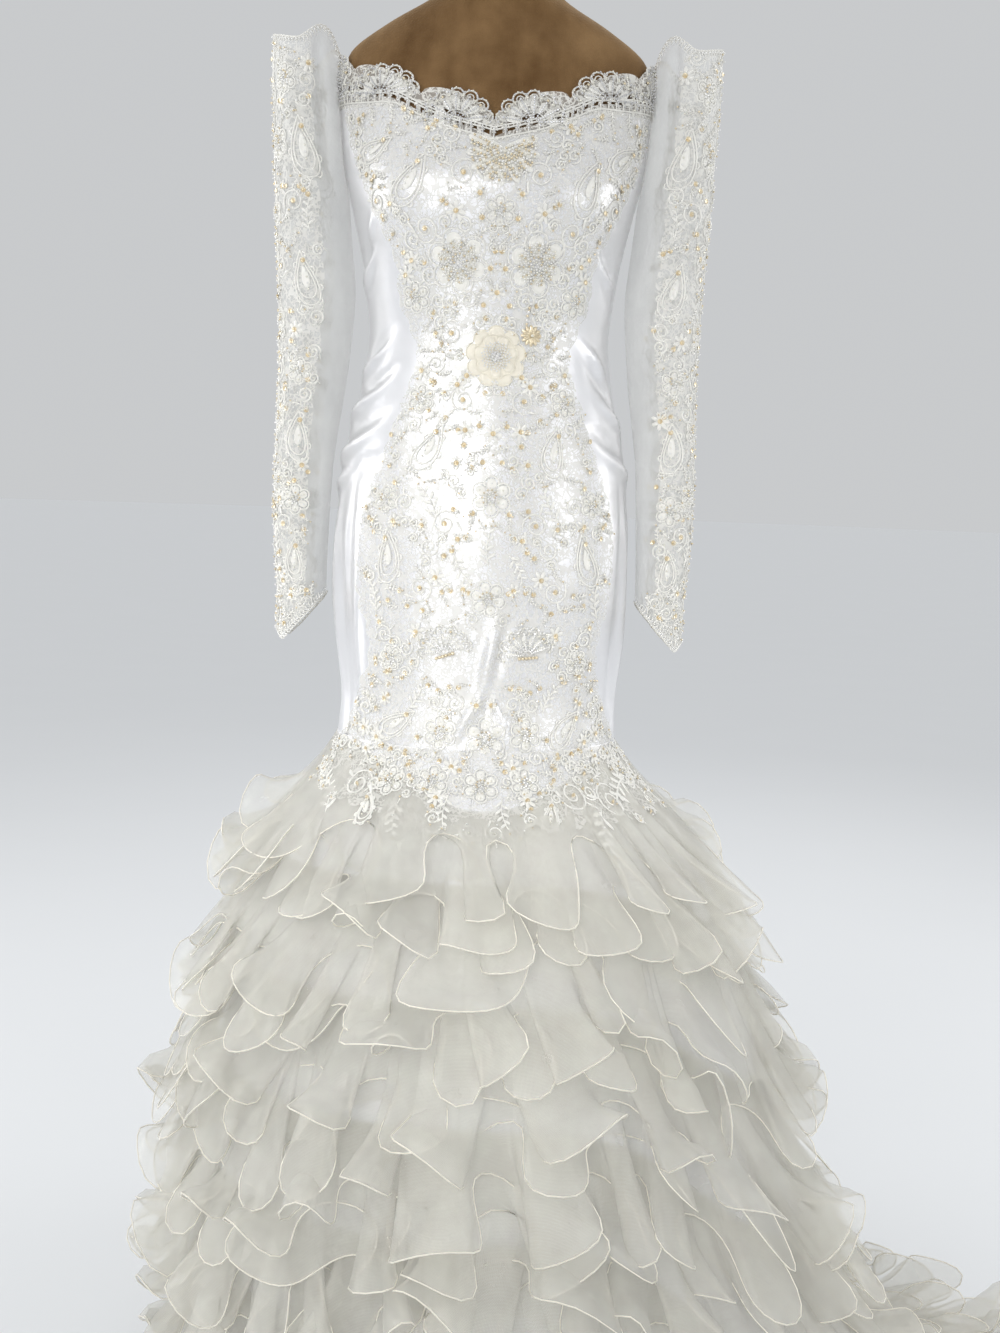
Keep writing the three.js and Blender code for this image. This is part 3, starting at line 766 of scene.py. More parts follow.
class Skirt:
    """The underskirt's surface as a fine grid: a column for each degree, in rows evenly spaced down it."""

    ROWS = 240

    def __init__(self):
        angles = np.arange(0.0, 361.0)[:, None]
        pulled = train_share(angles)
        heights = np.linspace(KNEE, 2, 90)[None, :]
        across, front, back, pull = (
            along(BELL, "z", heights, name) for name in ("side", "front", "back", "pull")
        )
        falling = oval(angles + 0 * heights, heights, across, front, back, pull * pulled)
        foot = falling[:, -1:, :]
        out = foot * (1, 1, 0)
        out = out / np.linalg.norm(out, axis=-1, keepdims=True)
        width = (TRAIN["hem"] + TRAIN["length"] * pulled)[..., None]
        lying = foot + out * width * np.linspace(0, 1, 40)[None, 1:, None]
        line = np.concatenate([falling, lying], 1)
        steps = np.linalg.norm(np.diff(line, axis=1), axis=-1)
        run = np.concatenate([0 * steps[:, :1], np.cumsum(steps, 1)], 1)
        shares = np.linspace(0, 1, self.ROWS + 1)
        rows = []
        for column, lengths in zip(line, run):
            at = shares * lengths[-1]
            rows.append(np.stack([np.interp(at, lengths, column[:, axis]) for axis in range(3)], -1))
        self.points = np.array(rows)
        self.length = run[:, -1]
        past = shares[None] * run[:, -1:] - run[:, 89:90]
        tilt = np.radians(80 * smooth(past, -170, 130) * np.minimum(1, width[..., 0] / 180))[..., None]
        level = self.points * (1, 1, 0)
        level = level / np.linalg.norm(level, axis=-1, keepdims=True)
        self.way = level * np.cos(tilt) + np.array([0, 0, 1.0]) * np.sin(tilt)

    def read(self, grid, angle, share):
        a = np.asarray(angle, float) % 360
        r = np.clip(share, 0, 1) * self.ROWS
        i, j = np.floor(a).astype(int), np.minimum(np.floor(r).astype(int), self.ROWS - 1)
        s, t = (a - i)[..., None], (r - j)[..., None]
        near = grid[i, j] * (1 - t) + grid[i, j + 1] * t
        far = grid[i + 1, j] * (1 - t) + grid[i + 1, j + 1] * t
        return near * (1 - s) + far * s

    def at(self, angle, share, out=0.0):
        out = np.asarray(out, float)[..., None]
        return self.read(self.points, angle, share) + self.read(self.way, angle, share) * out


SKIRT = Skirt()


def add_piece(name, points, faces, material, flat=None, replaced=(), smooth_faces=True):
    """A smooth mesh from points in millimetres and lists of faces, riding on the gown's one body."""
    mesh = bpy.data.meshes.new(name)
    faces = [np.asarray(part, np.int32) for part in faces if len(part)]
    sides = np.concatenate([np.full(len(part), part.shape[1]) for part in faces])
    corners = np.concatenate([part.ravel() for part in faces])
    mesh.vertices.add(len(points))
    mesh.vertices.foreach_set("co", (np.asarray(points) * MM).astype(np.float32).ravel())
    mesh.loops.add(len(corners))
    mesh.loops.foreach_set("vertex_index", corners)
    mesh.polygons.add(len(sides))
    mesh.polygons.foreach_set("loop_start", np.concatenate([[0], np.cumsum(sides)[:-1]]).astype(np.int32))
    mesh.update(calc_edges=True)
    mesh.polygons.foreach_set("use_smooth", np.full(len(sides), smooth_faces))
    if flat is not None:
        laid = mesh.uv_layers.new(name="flat")
        laid.data.foreach_set("uv", (np.asarray(flat)[corners] * MM).astype(np.float32).ravel())
    if mesh.validate():
        raise RuntimeError(name + " has faulty faces")
    mesh.materials.append(finish(material))
    made = bpy.data.objects.new(name, mesh)
    bpy.context.scene.collection.objects.link(made)
    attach(made, "root")
    if replaced:
        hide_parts(*replaced)
    return made


def grid_faces(rows, columns, loop=False):
    """Quads between neighbouring rows and columns."""
    last = columns if loop else columns - 1
    row, column = np.meshgrid(np.arange(rows - 1), np.arange(last), indexing="ij")
    beside = (column + 1) % columns
    quads = [row * columns + column, row * columns + beside]
    quads += [(row + 1) * columns + beside, (row + 1) * columns + column]
    return np.stack(quads, -1).reshape(-1, 4)


def laid_flat(points):
    """Where each point of a grid lies with its rows and columns pulled straight."""
    across = np.linalg.norm(np.diff(points, axis=1), axis=-1)
    down = np.linalg.norm(np.diff(points, axis=0), axis=-1)
    u = np.concatenate([np.zeros((len(points), 1)), np.cumsum(across, 1)], 1)
    v = np.concatenate([np.zeros((1, points.shape[1])), np.cumsum(down, 0)], 0)
    return np.stack([u, v], -1)


def add_cloth(name, points, material, replaced=(), kept=None):
    """A sheet of cloth from a grid of points, without the cells that are left open."""
    faces = grid_faces(*points.shape[:2])
    if kept is not None:
        faces = faces[kept.ravel()]
    flat = laid_flat(points).reshape(-1, 2)
    return add_piece(name, points.reshape(-1, 3), [faces], material, flat, replaced)


def closed_body(rings, low, high):
    """Points and faces of a body from its rings of points, closed by a fan to one point at each end."""
    rows, around = rings.shape[:2]
    points = np.concatenate([rings.reshape(-1, 3), [low, high]])
    i = np.arange(around)
    beside = (i + 1) % around
    last = (rows - 1) * around
    foot = np.stack([0 * i + len(points) - 2, beside, i], -1)
    top = np.stack([0 * i + len(points) - 1, last + i, last + beside], -1)
    return points, [grid_faces(rows, around, True), foot, top]


def turned(name, profile, material, replaced, segments=64):
    """A body turned on the upright axis from radii and heights, its corners rounded by short steps."""
    line = []
    for before, corner, after in zip(profile[:-2], profile[1:-1], profile[2:]):
        before, corner, after = np.array(before, float), np.array(corner, float), np.array(after, float)
        cut = min(2.0, np.linalg.norm(before - corner) / 3, np.linalg.norm(after - corner) / 3)
        start = corner + (before - corner) / np.linalg.norm(before - corner) * cut
        end = corner + (after - corner) / np.linalg.norm(after - corner) * cut
        for t in (0, 0.25, 0.5, 0.75, 1):
            line.append((1 - t) ** 2 * start + 2 * t * (1 - t) * corner + t**2 * end)
    turns = np.linspace(0, 2 * np.pi, segments, endpoint=False)
    radius, height = np.array(line).T
    rings = np.stack(
        [radius[:, None] * np.cos(turns), radius[:, None] * np.sin(turns), height[:, None] + 0 * turns], -1
    )
    points, faces = closed_body(rings, (0, 0, profile[0][1]), (0, 0, profile[-1][1]))
    return add_piece(name, points, faces, material, None, replaced)


class Motif:
    """Raised stitching and beads in flat millimetres, x across and y up."""

    def __init__(self):
        self.points = []
        self.quads = []
        self.triangles = []
        self.beads = []
        self.count = 0

    def add(self, points, quads=(), triangles=()):
        self.points.append(points)
        if len(quads):
            self.quads.append(np.asarray(quads) + self.count)
        if len(triangles):
            self.triangles.append(np.asarray(triangles) + self.count)
        self.count += len(points)

    def cord(self, path, width=None, rise=None, lift=0.0):
        """A rounded cord along a path of points, tapered at both ends."""
        width, rise = width or millimetres("thread"), rise or millimetres("thread_rise")
        path = np.asarray(path, float)
        ahead = np.gradient(path, axis=0)
        ahead /= np.linalg.norm(ahead, axis=1, keepdims=True) + 1e-9
        beside = np.stack([-ahead[:, 1], ahead[:, 0]], 1)
        full = np.ones(len(path))
        full[[0, -1]] = 0.45
        rings = []
        for across, up in ((-0.5, 0.0), (-0.27, 0.85), (0.27, 0.85), (0.5, 0.0)):
            xy = path + beside * (across * width * full)[:, None]
            rings.append(np.column_stack([xy, lift + up * rise * full]))
        self.add(np.stack(rings, 1).reshape(-1, 3), grid_faces(len(path), 4))

    def petal(self, base, way, length, width, rise, blunt=0.5):
        """A padded petal or leaf from its base point in a direction."""
        sides = 12 if length > 12 else 8
        turn = np.linspace(0, 2 * np.pi, sides, endpoint=False)
        run = (0.5 - 0.5 * np.cos(turn)) ** (1.0 if blunt > 0.4 else 1.25)
        wide = np.sin(turn) * (0.55 + blunt * run)
        forward = np.array([math.sin(way), math.cos(way)])
        beside = np.array([forward[1], -forward[0]])
        rim = np.outer(run * length, forward) + np.outer(wide * width / 2, beside)
        middle = forward * length * 0.55
        steps = ((1.0, 0.1 * rise), (0.6, rise))
        if length > 12:
            steps = ((1.0, 0.15 * rise), (0.78, rise), (0.4, 0.7 * rise))
        rings = [
            np.column_stack([middle + (rim - middle) * share, 0 * run + high]) for share, high in steps
        ]
        points = np.concatenate([*rings, [(*middle, 0.6 * rise)]]) + (*base, 0)
        i = np.arange(sides)
        last = sides * (len(steps) - 1)
        caps = np.stack([last + i, last + (i + 1) % sides, 0 * i + last + sides], -1)
        self.add(points, grid_faces(len(steps), sides, True), caps)

    def bead(self, kind, x, y, radius=None, lift=0.0):
        self.beads.append((kind, x, y, lift, radius or millimetres("bead")))

    def heart(self, reach, kinds, lift=0.0):
        """Beads packed in a disc."""
        count = max(3, int((reach / millimetres("bead")) ** 2 * 0.56))
        for i in range(count):
            far = reach * math.sqrt((i + 0.5) / count)
            turn = i * GOLDEN_TURN
            kind = kinds[(i * 7) % len(kinds)]
            self.bead(kind, far * math.cos(turn), far * math.sin(turn), lift=lift * (1 - far / reach / 2))


def arc(x, y, radius, start, end, steps=9, squash=1.0):
    turn = np.radians(np.linspace(start, end, steps))
    return np.column_stack([x + radius * np.cos(turn), y + squash * radius * np.sin(turn)])


def blossom(size):
    """A six-petalled flower with outlined petals and a beaded heart."""
    made = Motif()
    for i in range(6):
        way = i * math.pi / 3
        start = (0.22 * size * math.sin(way), 0.22 * size * math.cos(way))
        made.petal(start, way, 0.7 * size, 0.6 * size, 0.8)
        at = np.array([math.sin(way), math.cos(way)]) * size * 0.66
        made.cord(arc(*at, 0.37 * size, 90 - i * 60 - 112, 90 - i * 60 + 112), rise=1.2)
        made.cord(arc(*at, 0.2 * size, 90 - i * 60 - 100, 90 - i * 60 + 100, 7), 1.1, 1.2)
        made.bead("pearl" if i % 2 else "crystal", *(at * 1.02), lift=0.8)
    made.heart((0.66 if size > 25 else 0.5) * size, ("crystal", "pearl", "crystal", "gold", "crystal"), 1.8)
    return made


def daisy(size):
    """A small flower on a sequin."""
    made = Motif()
    for i in range(7):
        made.petal((0, 0), i * math.tau / 7, size, 0.5 * size, 0.9)
    made.bead("sequin", 0, 0, lift=0.9)
    return made


def rose(size):
    """Two rings of cupped petals round a beaded heart."""
    made = Motif()
    for ring, (count, reach, rise) in enumerate(((9, 1.0, 1.2), (7, 0.74, 2.8))):
        for i in range(count):
            way = (i + 0.5 * ring) * math.tau / count
            start = np.array([math.sin(way), math.cos(way)]) * size * 0.16
            made.petal(start, way, (reach - 0.16) * size, 0.66 * size * reach, rise)
            at = np.array([math.sin(way), math.cos(way)]) * size * (reach - 0.36)
            bearing = 90 - math.degrees(way)
            made.cord(arc(*at, 0.34 * size, bearing - 60, bearing + 60), 1.2, 0.9, rise * 0.5)
    made.heart(0.48 * size, ("crystal", "gold", "pearl", "crystal", "gold", "crystal", "gold"), 3.6)
    return made


def shell(size):
    """A ribbed disc with a row of beads over it."""
    made = Motif()
    for i in range(12):
        made.petal((0, 0), i * math.tau / 12, size, 0.42 * size, 2.0, 0.6)
    for i in range(6):
        kind = "crystal" if i % 2 else "gold"
        made.bead(kind, -0.5 * size + 0.12 * i * i, size * (1.0 + 0.36 * i), 1.6, 0.2)
    made.bead("pearl", 0, 0, 1.8, 1.4)
    return made


def paisley(size):
    """A bent drop in two cords, with a curl inside, loops along its back and beads down the middle."""
    made = Motif()
    t = np.linspace(0, 2 * np.pi, 30)

    def drop(share):
        x = 0.62 * size * share * np.sin(t) * np.sin(t / 2) ** 1.3
        y = -size * share * np.cos(t)
        return np.column_stack([x + 0.3 * size * ((y / size + 1) / 2) ** 2 - 0.08 * size, y])

    outer = drop(1.0)
    made.cord(outer)
    made.cord(drop(0.74))
    made.petal((-0.02 * size, -0.42 * size), 0.12, 0.8 * size, 0.36 * size, 1.1)
    for i in range(3, 27, 3):
        way = outer[i + 1] - outer[i - 1]
        bearing = math.degrees(math.atan2(way[1], way[0]))
        made.cord(arc(*outer[i], 0.12 * size, bearing - 170, bearing - 10, 6))
    for i in range(5):
        y = size * (0.42 - 0.22 * i)
        made.bead("crystal" if i % 2 else "pearl", 0.12 * size - 0.015 * i * size, y, lift=1.1)
    made.bead("sequin", 0.02 * size, -0.62 * size, lift=0.9)
    return made


def scroll(size):
    """A curling vine with two leaves and a sequin in its curl."""
    made = Motif()
    t = np.linspace(0, 1, 24)
    turn = t * 3.3 * np.pi
    reach = size * (1 - 0.86 * t)
    made.cord(np.column_stack([reach * np.cos(turn), reach * np.sin(turn)]), 1.9)
    made.petal((0.85 * size, -0.1 * size), math.radians(165), 0.8 * size, 0.34 * size, 1.2, 0.2)
    made.petal((-0.55 * size, 0.62 * size), math.radians(-40), 0.75 * size, 0.32 * size, 1.2, 0.2)
    made.bead("sequin" if size > 11 else "pearl", 0, 0, lift=0.8)
    made.bead("crystal", -0.62 * size, 0.1 * size, lift=0.4)
    return made


def sprig(size):
    """A stem with paired leaves and a bead at its tip."""
    made = Motif()
    t = np.linspace(0, 1, 10)
    stem = np.column_stack([0.16 * size * np.sin(t * 3.4), size * (2 * t - 1)])
    made.cord(stem, 1.3)
    for i in range(1, 9):
        way = math.radians(52 if i % 2 else -52)
        made.petal(stem[i], way, size * (0.62 - 0.035 * i), 0.26 * size, 1.1, 0.25)
    made.bead("gold", *(stem[-1] + (0, 2)), lift=0.3)
    made.bead("crystal", *(stem[4]), lift=1.0)
    return made


def crest(size):
    """Petals fanned upwards and thickly sewn with beads."""
    made = Motif()
    for i in range(9):
        way = math.radians(-112 + 28 * i)
        made.petal((0, 0), way, size, 0.4 * size, 1.0, 0.3)
    kinds = ("gold", "crystal", "gold", "pearl", "crystal", "gold", "gold", "pearl")
    for ring in range(1, int(size / 3.1)):
        far = ring * 3.1
        count = max(3, int(far * math.radians(235) / 2.9))
        for i in range(count):
            way = math.radians(-117 + 234 * i / (count - 1))
            if ring > 5 and i % 3 == 1:
                continue
            made.bead(kinds[(i * 3 + ring) % 8], far * math.sin(way), far * math.cos(way), 1.4, 0.9)
    return made


def fan(width, height, lobes, shine="silver"):
    """A scallop: beaded ribs that spread from its foot to a row of small rounded lobes."""
    made = Motif()
    turns = np.radians(np.linspace(-82, 82, lobes))
    radius = 0.5 * math.pi * width / (lobes + 1.0)
    for i, turn in enumerate(turns):
        tip = np.array([(width - radius) * math.sin(turn), (height - radius) * math.cos(turn)])
        bearing = 90 - math.degrees(math.atan2(tip[0], tip[1] + 0.2 * height))
        made.cord(arc(*tip, radius, bearing - 125, bearing + 125, 10), 1.7, 1.4)
        made.cord(arc(*tip, 0.5 * radius, bearing - 110, bearing + 110, 6), 1.2, 1.0)
        made.petal(tip * 0.42, math.atan2(tip[0], tip[1]), np.linalg.norm(tip) * 0.5, radius * 1.2, 0.9)
        for k, way in enumerate(np.radians(np.linspace(bearing - 100, bearing + 100, 7))):
            spot = tip + radius * np.array([math.cos(way), math.sin(way)])
            made.bead(shine if k % 3 else "pearl", *spot, lift=1.0)
        for k in range(2, 10):
            made.bead(shine, *(tip * k / 10), radius=1.1, lift=1.0)
        made.bead("gold" if i % 3 == 1 else shine, *tip, radius=1.5, lift=0.6)
    for share in (0.34, 0.55):
        made.cord(arc(0, 0, share * width, 8, 172, 12, height / width), 1.4)
    return made


def broad_fan(size):
    """A fan with large gold beads at its foot."""
    made = fan(size, 0.95 * size, 7, "crystal")
    for i in range(6):
        made.bead("gold", -0.3 * size + 0.12 * size * i, -0.16 * size * (1 - 0.1 * i), 2.0, 0.4)
    return made


def edge_loop(size):
    """One small loop of an edging with a bead in it."""
    made = Motif()
    made.cord(arc(0, 0, size, -10, 190, 8), 1.4)
    made.bead("crystal", 0, 0.35 * size, lift=0.5)
    return made


def post(size):
    """An upright bar with a curl on each side, across a row of openings."""
    made = Motif()
    made.cord(((0, -size), (0, 0), (0, size)), 1.7)
    made.cord(arc(-2.2, size, 2.2, -90, 20, 5), 1.3)
    made.cord(arc(2.2, size, 2.2, 160, 270, 5), 1.3)
    made.bead("silver", 0, 0, lift=0.9)
    made.bead("silver", 0, 0.8 * size, lift=0.9)
    return made


MAKERS = {
    "blossom": blossom,
    "daisy": daisy,
    "rose": rose,
    "paisley": paisley,
    "scroll": scroll,
    "sprig": sprig,
    "crest": crest,
    "shell": shell,
    "fan": broad_fan,
    "edge_loop": edge_loop,
    "post": post,
}
DRAWN = {}


def motif(kind, size):
    """A motif of a kind and size, drawn once."""
    key = (kind, round(float(size), 1))
    if key not in DRAWN:
        DRAWN[key] = MAKERS[kind](float(size))
    return DRAWN[key]


class Needlework:
    """Motifs laid on a surface, gathered into one piece of stitching and one for each kind of bead."""

    def __init__(self, surface, lift=0.5, material="thread"):
        self.surface = surface
        self.lift = lift
        self.material = material
        self.points, self.quads, self.triangles = [], [], []
        self.count = 0
        self.beads = {"crystal": [], "silver": [], "pearl": [], "gold": [], "sequin": []}

    def lay(self, made, across, up, turn=0.0, mirror=False):
        """Lays a motif round a place on the surface, turned by some degrees."""
        ends = self.surface(np.array([across - 0.5, across + 0.5]), np.array([up, up]), 0.0)
        degree = np.linalg.norm(ends[1] - ends[0])
        flip = -1 if mirror else 1
        c, s = math.cos(math.radians(turn)), math.sin(math.radians(turn))

        def place(flat):
            x, y = flat[:, 0] * c - flat[:, 1] * s, flat[:, 0] * s + flat[:, 1] * c
            return self.surface(across + flip * x / degree, up + y, self.lift + flat[:, 2])

        if made.points:
            flat = np.concatenate(made.points)
            self.points.append(place(flat))
            for found, kept in ((made.quads, self.quads), (made.triangles, self.triangles)):
                if found:
                    faces = np.concatenate(found) + self.count
                    kept.append(faces[:, ::-1] if mirror else faces)
            self.count += len(flat)
        if not made.beads:
            return
        kinds = [bead[0] for bead in made.beads]
        spots = np.array([bead[1:] for bead in made.beads])
        seats = place(spots[:, :3])
        above = place(spots[:, :3] + (0, 0, 1.0))
        ways = above - seats
        ways /= np.linalg.norm(ways, axis=1, keepdims=True)
        for kind, seat, way, radius in zip(kinds, seats, ways, spots[:, 3]):
            self.beads[kind].append((*seat, *way, radius))

    def finished(self, name):
        """Makes the pieces and returns them."""
        faces = [np.concatenate(part) for part in (self.quads, self.triangles) if part]
        points = np.concatenate(self.points)
        made = [add_piece(name + "_stitching", points, faces, self.material, None)]
        for kind, spots in self.beads.items():
            if not spots:
                continue
            spots = np.array(spots)
            if kind == "sequin":
                made.append(add_sequins(name + "_sequins", spots))
                spots[:, :3] += spots[:, 3:6] * 0.9
                spots[:, 6] *= 0.85
                made.append(add_beads(name + "_sequin_beads", spots, "gold"))
            else:
                made.append(add_beads(name + "_" + kind + "_beads", spots, kind))
        return made


def facing(ways):
    """Two directions across each given one."""
    aside = np.cross(ways, (0, 0, 1.0))
    aside /= np.linalg.norm(aside, axis=1, keepdims=True) + 1e-9
    return aside, np.cross(ways, aside)


def copies(template, faces, spots, scale):
    """Copies of a small mesh: one at each spot, turned its way."""
    aside, up = facing(spots[:, 3:6])
    local = template[None] * scale[:, None, None]
    points = spots[:, None, :3] + local[..., :1] * aside[:, None] + local[..., 1:2] * up[:, None]
    points = points + local[..., 2:] * spots[:, None, 3:6]
    shift = np.arange(len(spots))[:, None, None] * len(template)
    return points.reshape(-1, 3), [(part[None] + shift).reshape(-1, part.shape[1]) for part in faces]


def add_beads(name, spots, material):
    """Round beads in one mesh, each resting on its spot."""
    ring = np.arange(6)
    turns = ring * math.tau / 6
    template = [(0, 0, 2.0)]
    for high, wide in ((1.5, 0.87), (0.5, 0.87)):
        template += [(wide * math.cos(t), wide * math.sin(t), high) for t in turns]
    template.append((0, 0, 0.0))
    beside = (ring + 1) % 6
    caps = np.concatenate([
        np.stack([0 * ring, 1 + ring, 1 + beside], -1),
        np.stack([0 * ring + 13, 7 + beside, 7 + ring], -1),
    ])
    walls = np.stack([1 + ring, 7 + ring, 7 + beside, 1 + beside], -1)
    points, faces = copies(np.array(template), [walls, caps], spots, spots[:, 6])
    return add_piece(name, points, faces, material, None, (), material not in ("crystal", "silver"))


def add_sequins(name, spots):
    """Cupped sequins in one mesh."""
    ring = np.arange(10)
    turns = ring * math.tau / 10
    rim = [(math.cos(t), math.sin(t), 0.34) for t in turns]
    well = [(0.45 * math.cos(t), 0.45 * math.sin(t), 0.08) for t in turns]
    beside = (ring + 1) % 10
    slope = np.stack([ring, beside, 10 + beside, 10 + ring], -1)
    floor = np.stack([10 + ring, 10 + beside, 0 * ring + 20], -1)
    size = np.full(len(spots), millimetres("sequin"))
    points, faces = copies(np.array([*rim, *well, (0, 0, 0.1)]), [slope, floor], spots, size)
    return add_piece(name, points, faces, "gold", None)


def add_tube(name, line, down, radius, material, sides=4):
    """A closed cord along a looped line, steadied by the direction of the cloth above it."""
    ahead = np.roll(line, -1, 0) - np.roll(line, 1, 0)
    ahead /= np.linalg.norm(ahead, axis=1, keepdims=True)
    aside = np.cross(ahead, down)
    aside /= np.linalg.norm(aside, axis=1, keepdims=True)
    up = np.cross(aside, ahead)
    turns = np.arange(sides) * math.tau / sides
    rings = line[:, None] + radius * (
        aside[:, None] * np.cos(turns)[None, :, None] + up[:, None] * np.sin(turns)[None, :, None]
    )
    i, k = np.meshgrid(np.arange(len(line)), np.arange(sides), indexing="ij")
    after, beside = (i + 1) % len(line), (k + 1) % sides
    quads = np.stack([i * sides + k, i * sides + beside, after * sides + beside, after * sides + k], -1)
    return add_piece(name, rings.reshape(-1, 3), [quads.reshape(-1, 4)], material, None)


def cut(piece, held, rests_on, with_pieces=()):
    """Does nothing with a piece of cloth; no flat size is stated for it."""


def sleeve_room(across, z, size):
    """Whether a small motif of a sleeve's lace fits at a place."""
    top, cuff = sleeve_rows(across)
    return across < 104 and cuff + 0.8 * size < z < top - 0.8 * size


def trunk_room(across, z, size):
    """Whether a small motif of the trunk's lace fits at a place."""
    inside = across < along(LACE_AREA, "z", z, "half") - 2
    left_plain = 770 < z < 825 and across < 7
    return inside and z < satin_edge(LACE_CENTRE + across) - size * 0.7 and not left_plain


def fill(work, placed, heights, room, line, attempts, seed):
    """Small motifs wherever the main ones leave room, mirrored about a line, with beads between."""
    middle, degree = line
    motifs = ("sprig", "scroll", "daisy", "sprig", "scroll")
    beads = ("crystal", "pearl", "crystal", "gold", "crystal", "sequin")
    dice = np.random.default_rng(seed)
    for attempt in range(attempts):
        z, across = dice.uniform(*heights), dice.uniform(2, 130 if middle == 0 else 76)
        size, spin = dice.choice((5, 6.5, 8, 10)), dice.uniform(0, 360)
        spots = dice.uniform(-size, size, (2, 2))
        if not room(across, z, size):
            continue
        gaps = [math.hypot((a - middle - across) * degree, z - up) - r - 0.62 * size for a, up, r in placed]
        if min(gaps) < -0.3 * size:
            continue
        for side in (1, -1):
            at = middle + side * across
            work.lay(motif(motifs[attempt % len(motifs)], size), at, z, side * spin, mirror=side < 0)
            placed.append((at, z, size))
        for k, spot in enumerate(spots):
            bead = Motif()
            bead.bead(beads[(attempt + 3 * k) % len(beads)], *spot)
            for side in (1, -1):
                work.lay(bead, middle + side * across, z, 0, mirror=side < 0)


class GOWN_OT_form(bpy.types.Operator):
    """Adds the napped dress form under the gown."""

    bl_idname = "gown.form"
    bl_label = "Dress form"

    def execute(self, context):
        angles = np.linspace(0, 360, 121)[:-1]
        heights = np.concatenate([np.linspace(800, 1385, 40)[:-1], np.linspace(1385, 1560, 44)])
        angle, z = np.meshgrid(angles, heights)
        inset = 2.9 + 2.2 * smooth(z, 1270, 1385)
        soft = 0.8 * np.sin(np.radians(3 * angle) + z / 33) * np.sin(z / 21 + np.radians(2 * angle))
        soft = (soft + 0.5 * np.sin(z / 9 + np.radians(7 * angle))) * smooth(z, 1340, 1400) * (z < 1550)
        shell = figure(angle, z, soft - inset)
        points, faces = closed_body(shell, (0, 0, heights[0]), (0, 0, heights[-1]))
        add_piece("form_cover", points, faces, "cover", None, ("form_body",))
        return {"FINISHED"}


class GOWN_OT_stand(bpy.types.Operator):
    """Adds the form's cap, pole and base."""

    bl_idname = "gown.stand"
    bl_label = "Stand"

    def execute(self, context):
        low, high = (np.array(corner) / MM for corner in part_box("form_neck_cap"))
        wide, foot, top = high[0], low[2], high[2]
        cap = [(0, foot), (wide - 1, foot), (wide, foot + 2), (wide, foot + 8)]
        cap += [(wide - 9, top - 0.5), (10, top), (0, top)]
        turned("form_cap", cap, "wood", ("form_neck_cap",), 96)
        low, high = (np.array(corner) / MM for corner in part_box("form_pole"))
        wide, foot, top = high[0], low[2], high[2]
        pole = [(0, foot), (wide, foot), (wide, 430), (wide - 2, 434)]
        pole += [(wide - 2, top - 1), (wide - 3, top), (0, top)]
        turned("form_post", pole, "metal", ("form_pole",), 48)
        high = np.array(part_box("form_base")[1]) / MM
        wide, top = high[0], high[2]
        base = [(0, 0), (wide, 0), (wide, 9), (wide - 8, 13), (34, 16), (24, 26)]
        base += [(22, top - 1), (20, top), (0, top)]
        turned("form_foot", base, "metal", ("form_base",), 96)
        return {"FINISHED"}


class GOWN_OT_satin_trunk(bpy.types.Operator):
    """Adds the creased satin front and backs of the trunk."""

    bl_idname = "gown.satin_trunk"
    bl_label = "Satin trunk"

    def execute(self, context):
        panels = (("front", -90, 90, 124), ("back_left", 90, 180, 54), ("back_right", -180, -90, 54))
        for name, start, end, columns in panels:
            angles = np.linspace(start + 0.06, end - 0.06, columns + 1)
            share = np.linspace(0, 1, 131)[:, None]
            top = satin_edge(angles)[None]
            z = KNEE + (top - KNEE) * share
            roll = 0.9 * smooth(top - z, 5, 0) - 1.2 * smooth(top - z, 1.5, 0)
            points = trunk(angles[None] + 0 * z, z, roll)
            node = "front_panel" if name == "front" else "back_panel_" + name[5:]
            made = add_cloth("satin_" + name, points, "satin", (node,))
            cut(made, "stretched", ["form_cover"])
        return {"FINISHED"}


class GOWN_OT_underskirt(bpy.types.Operator):
    """Adds the four satin gores of the underskirt, with soft folds inwards."""

    bl_idname = "gown.underskirt"
    bl_label = "Underskirt"

    def execute(self, context):
        for i, quarter in enumerate(QUARTERS):
            degrees = np.linspace(90 * i + 0.06, 90 * i + 89.94, 65)
            angle, share = np.meshgrid(degrees, np.linspace(0, 1, 76))
            fold = np.sin(np.radians(11 * angle) + 1.4 * np.sin(np.radians(3 * angle)))
            fold = fold + 0.6 * np.sin(np.radians(23 * angle) + 2.0)
            inward = (fold - 1.6) * 3.2 * smooth(share, 0.03, 0.4) * (1 - smooth(share, 0.8, 0.9))
            points = SKIRT.at(angle, share, inward)
            points[..., 2] = np.maximum(points[..., 2], 1.0)
            name, nodes = "underskirt_satin_" + quarter, ("underskirt_" + quarter,)
            made = add_cloth(name, points[::-1], "lining_satin", nodes)
            cut(made, "hung", ["satin_front" if "front" in quarter else "satin_back_left"])
        return {"FINISHED"}


def first_seam(angle):
    """How much lower the first flounce is sewn on at the front, as a share of the way down."""
    return 0.085 * np.exp(-((wrapped(angle - 4) / 36) ** 2))


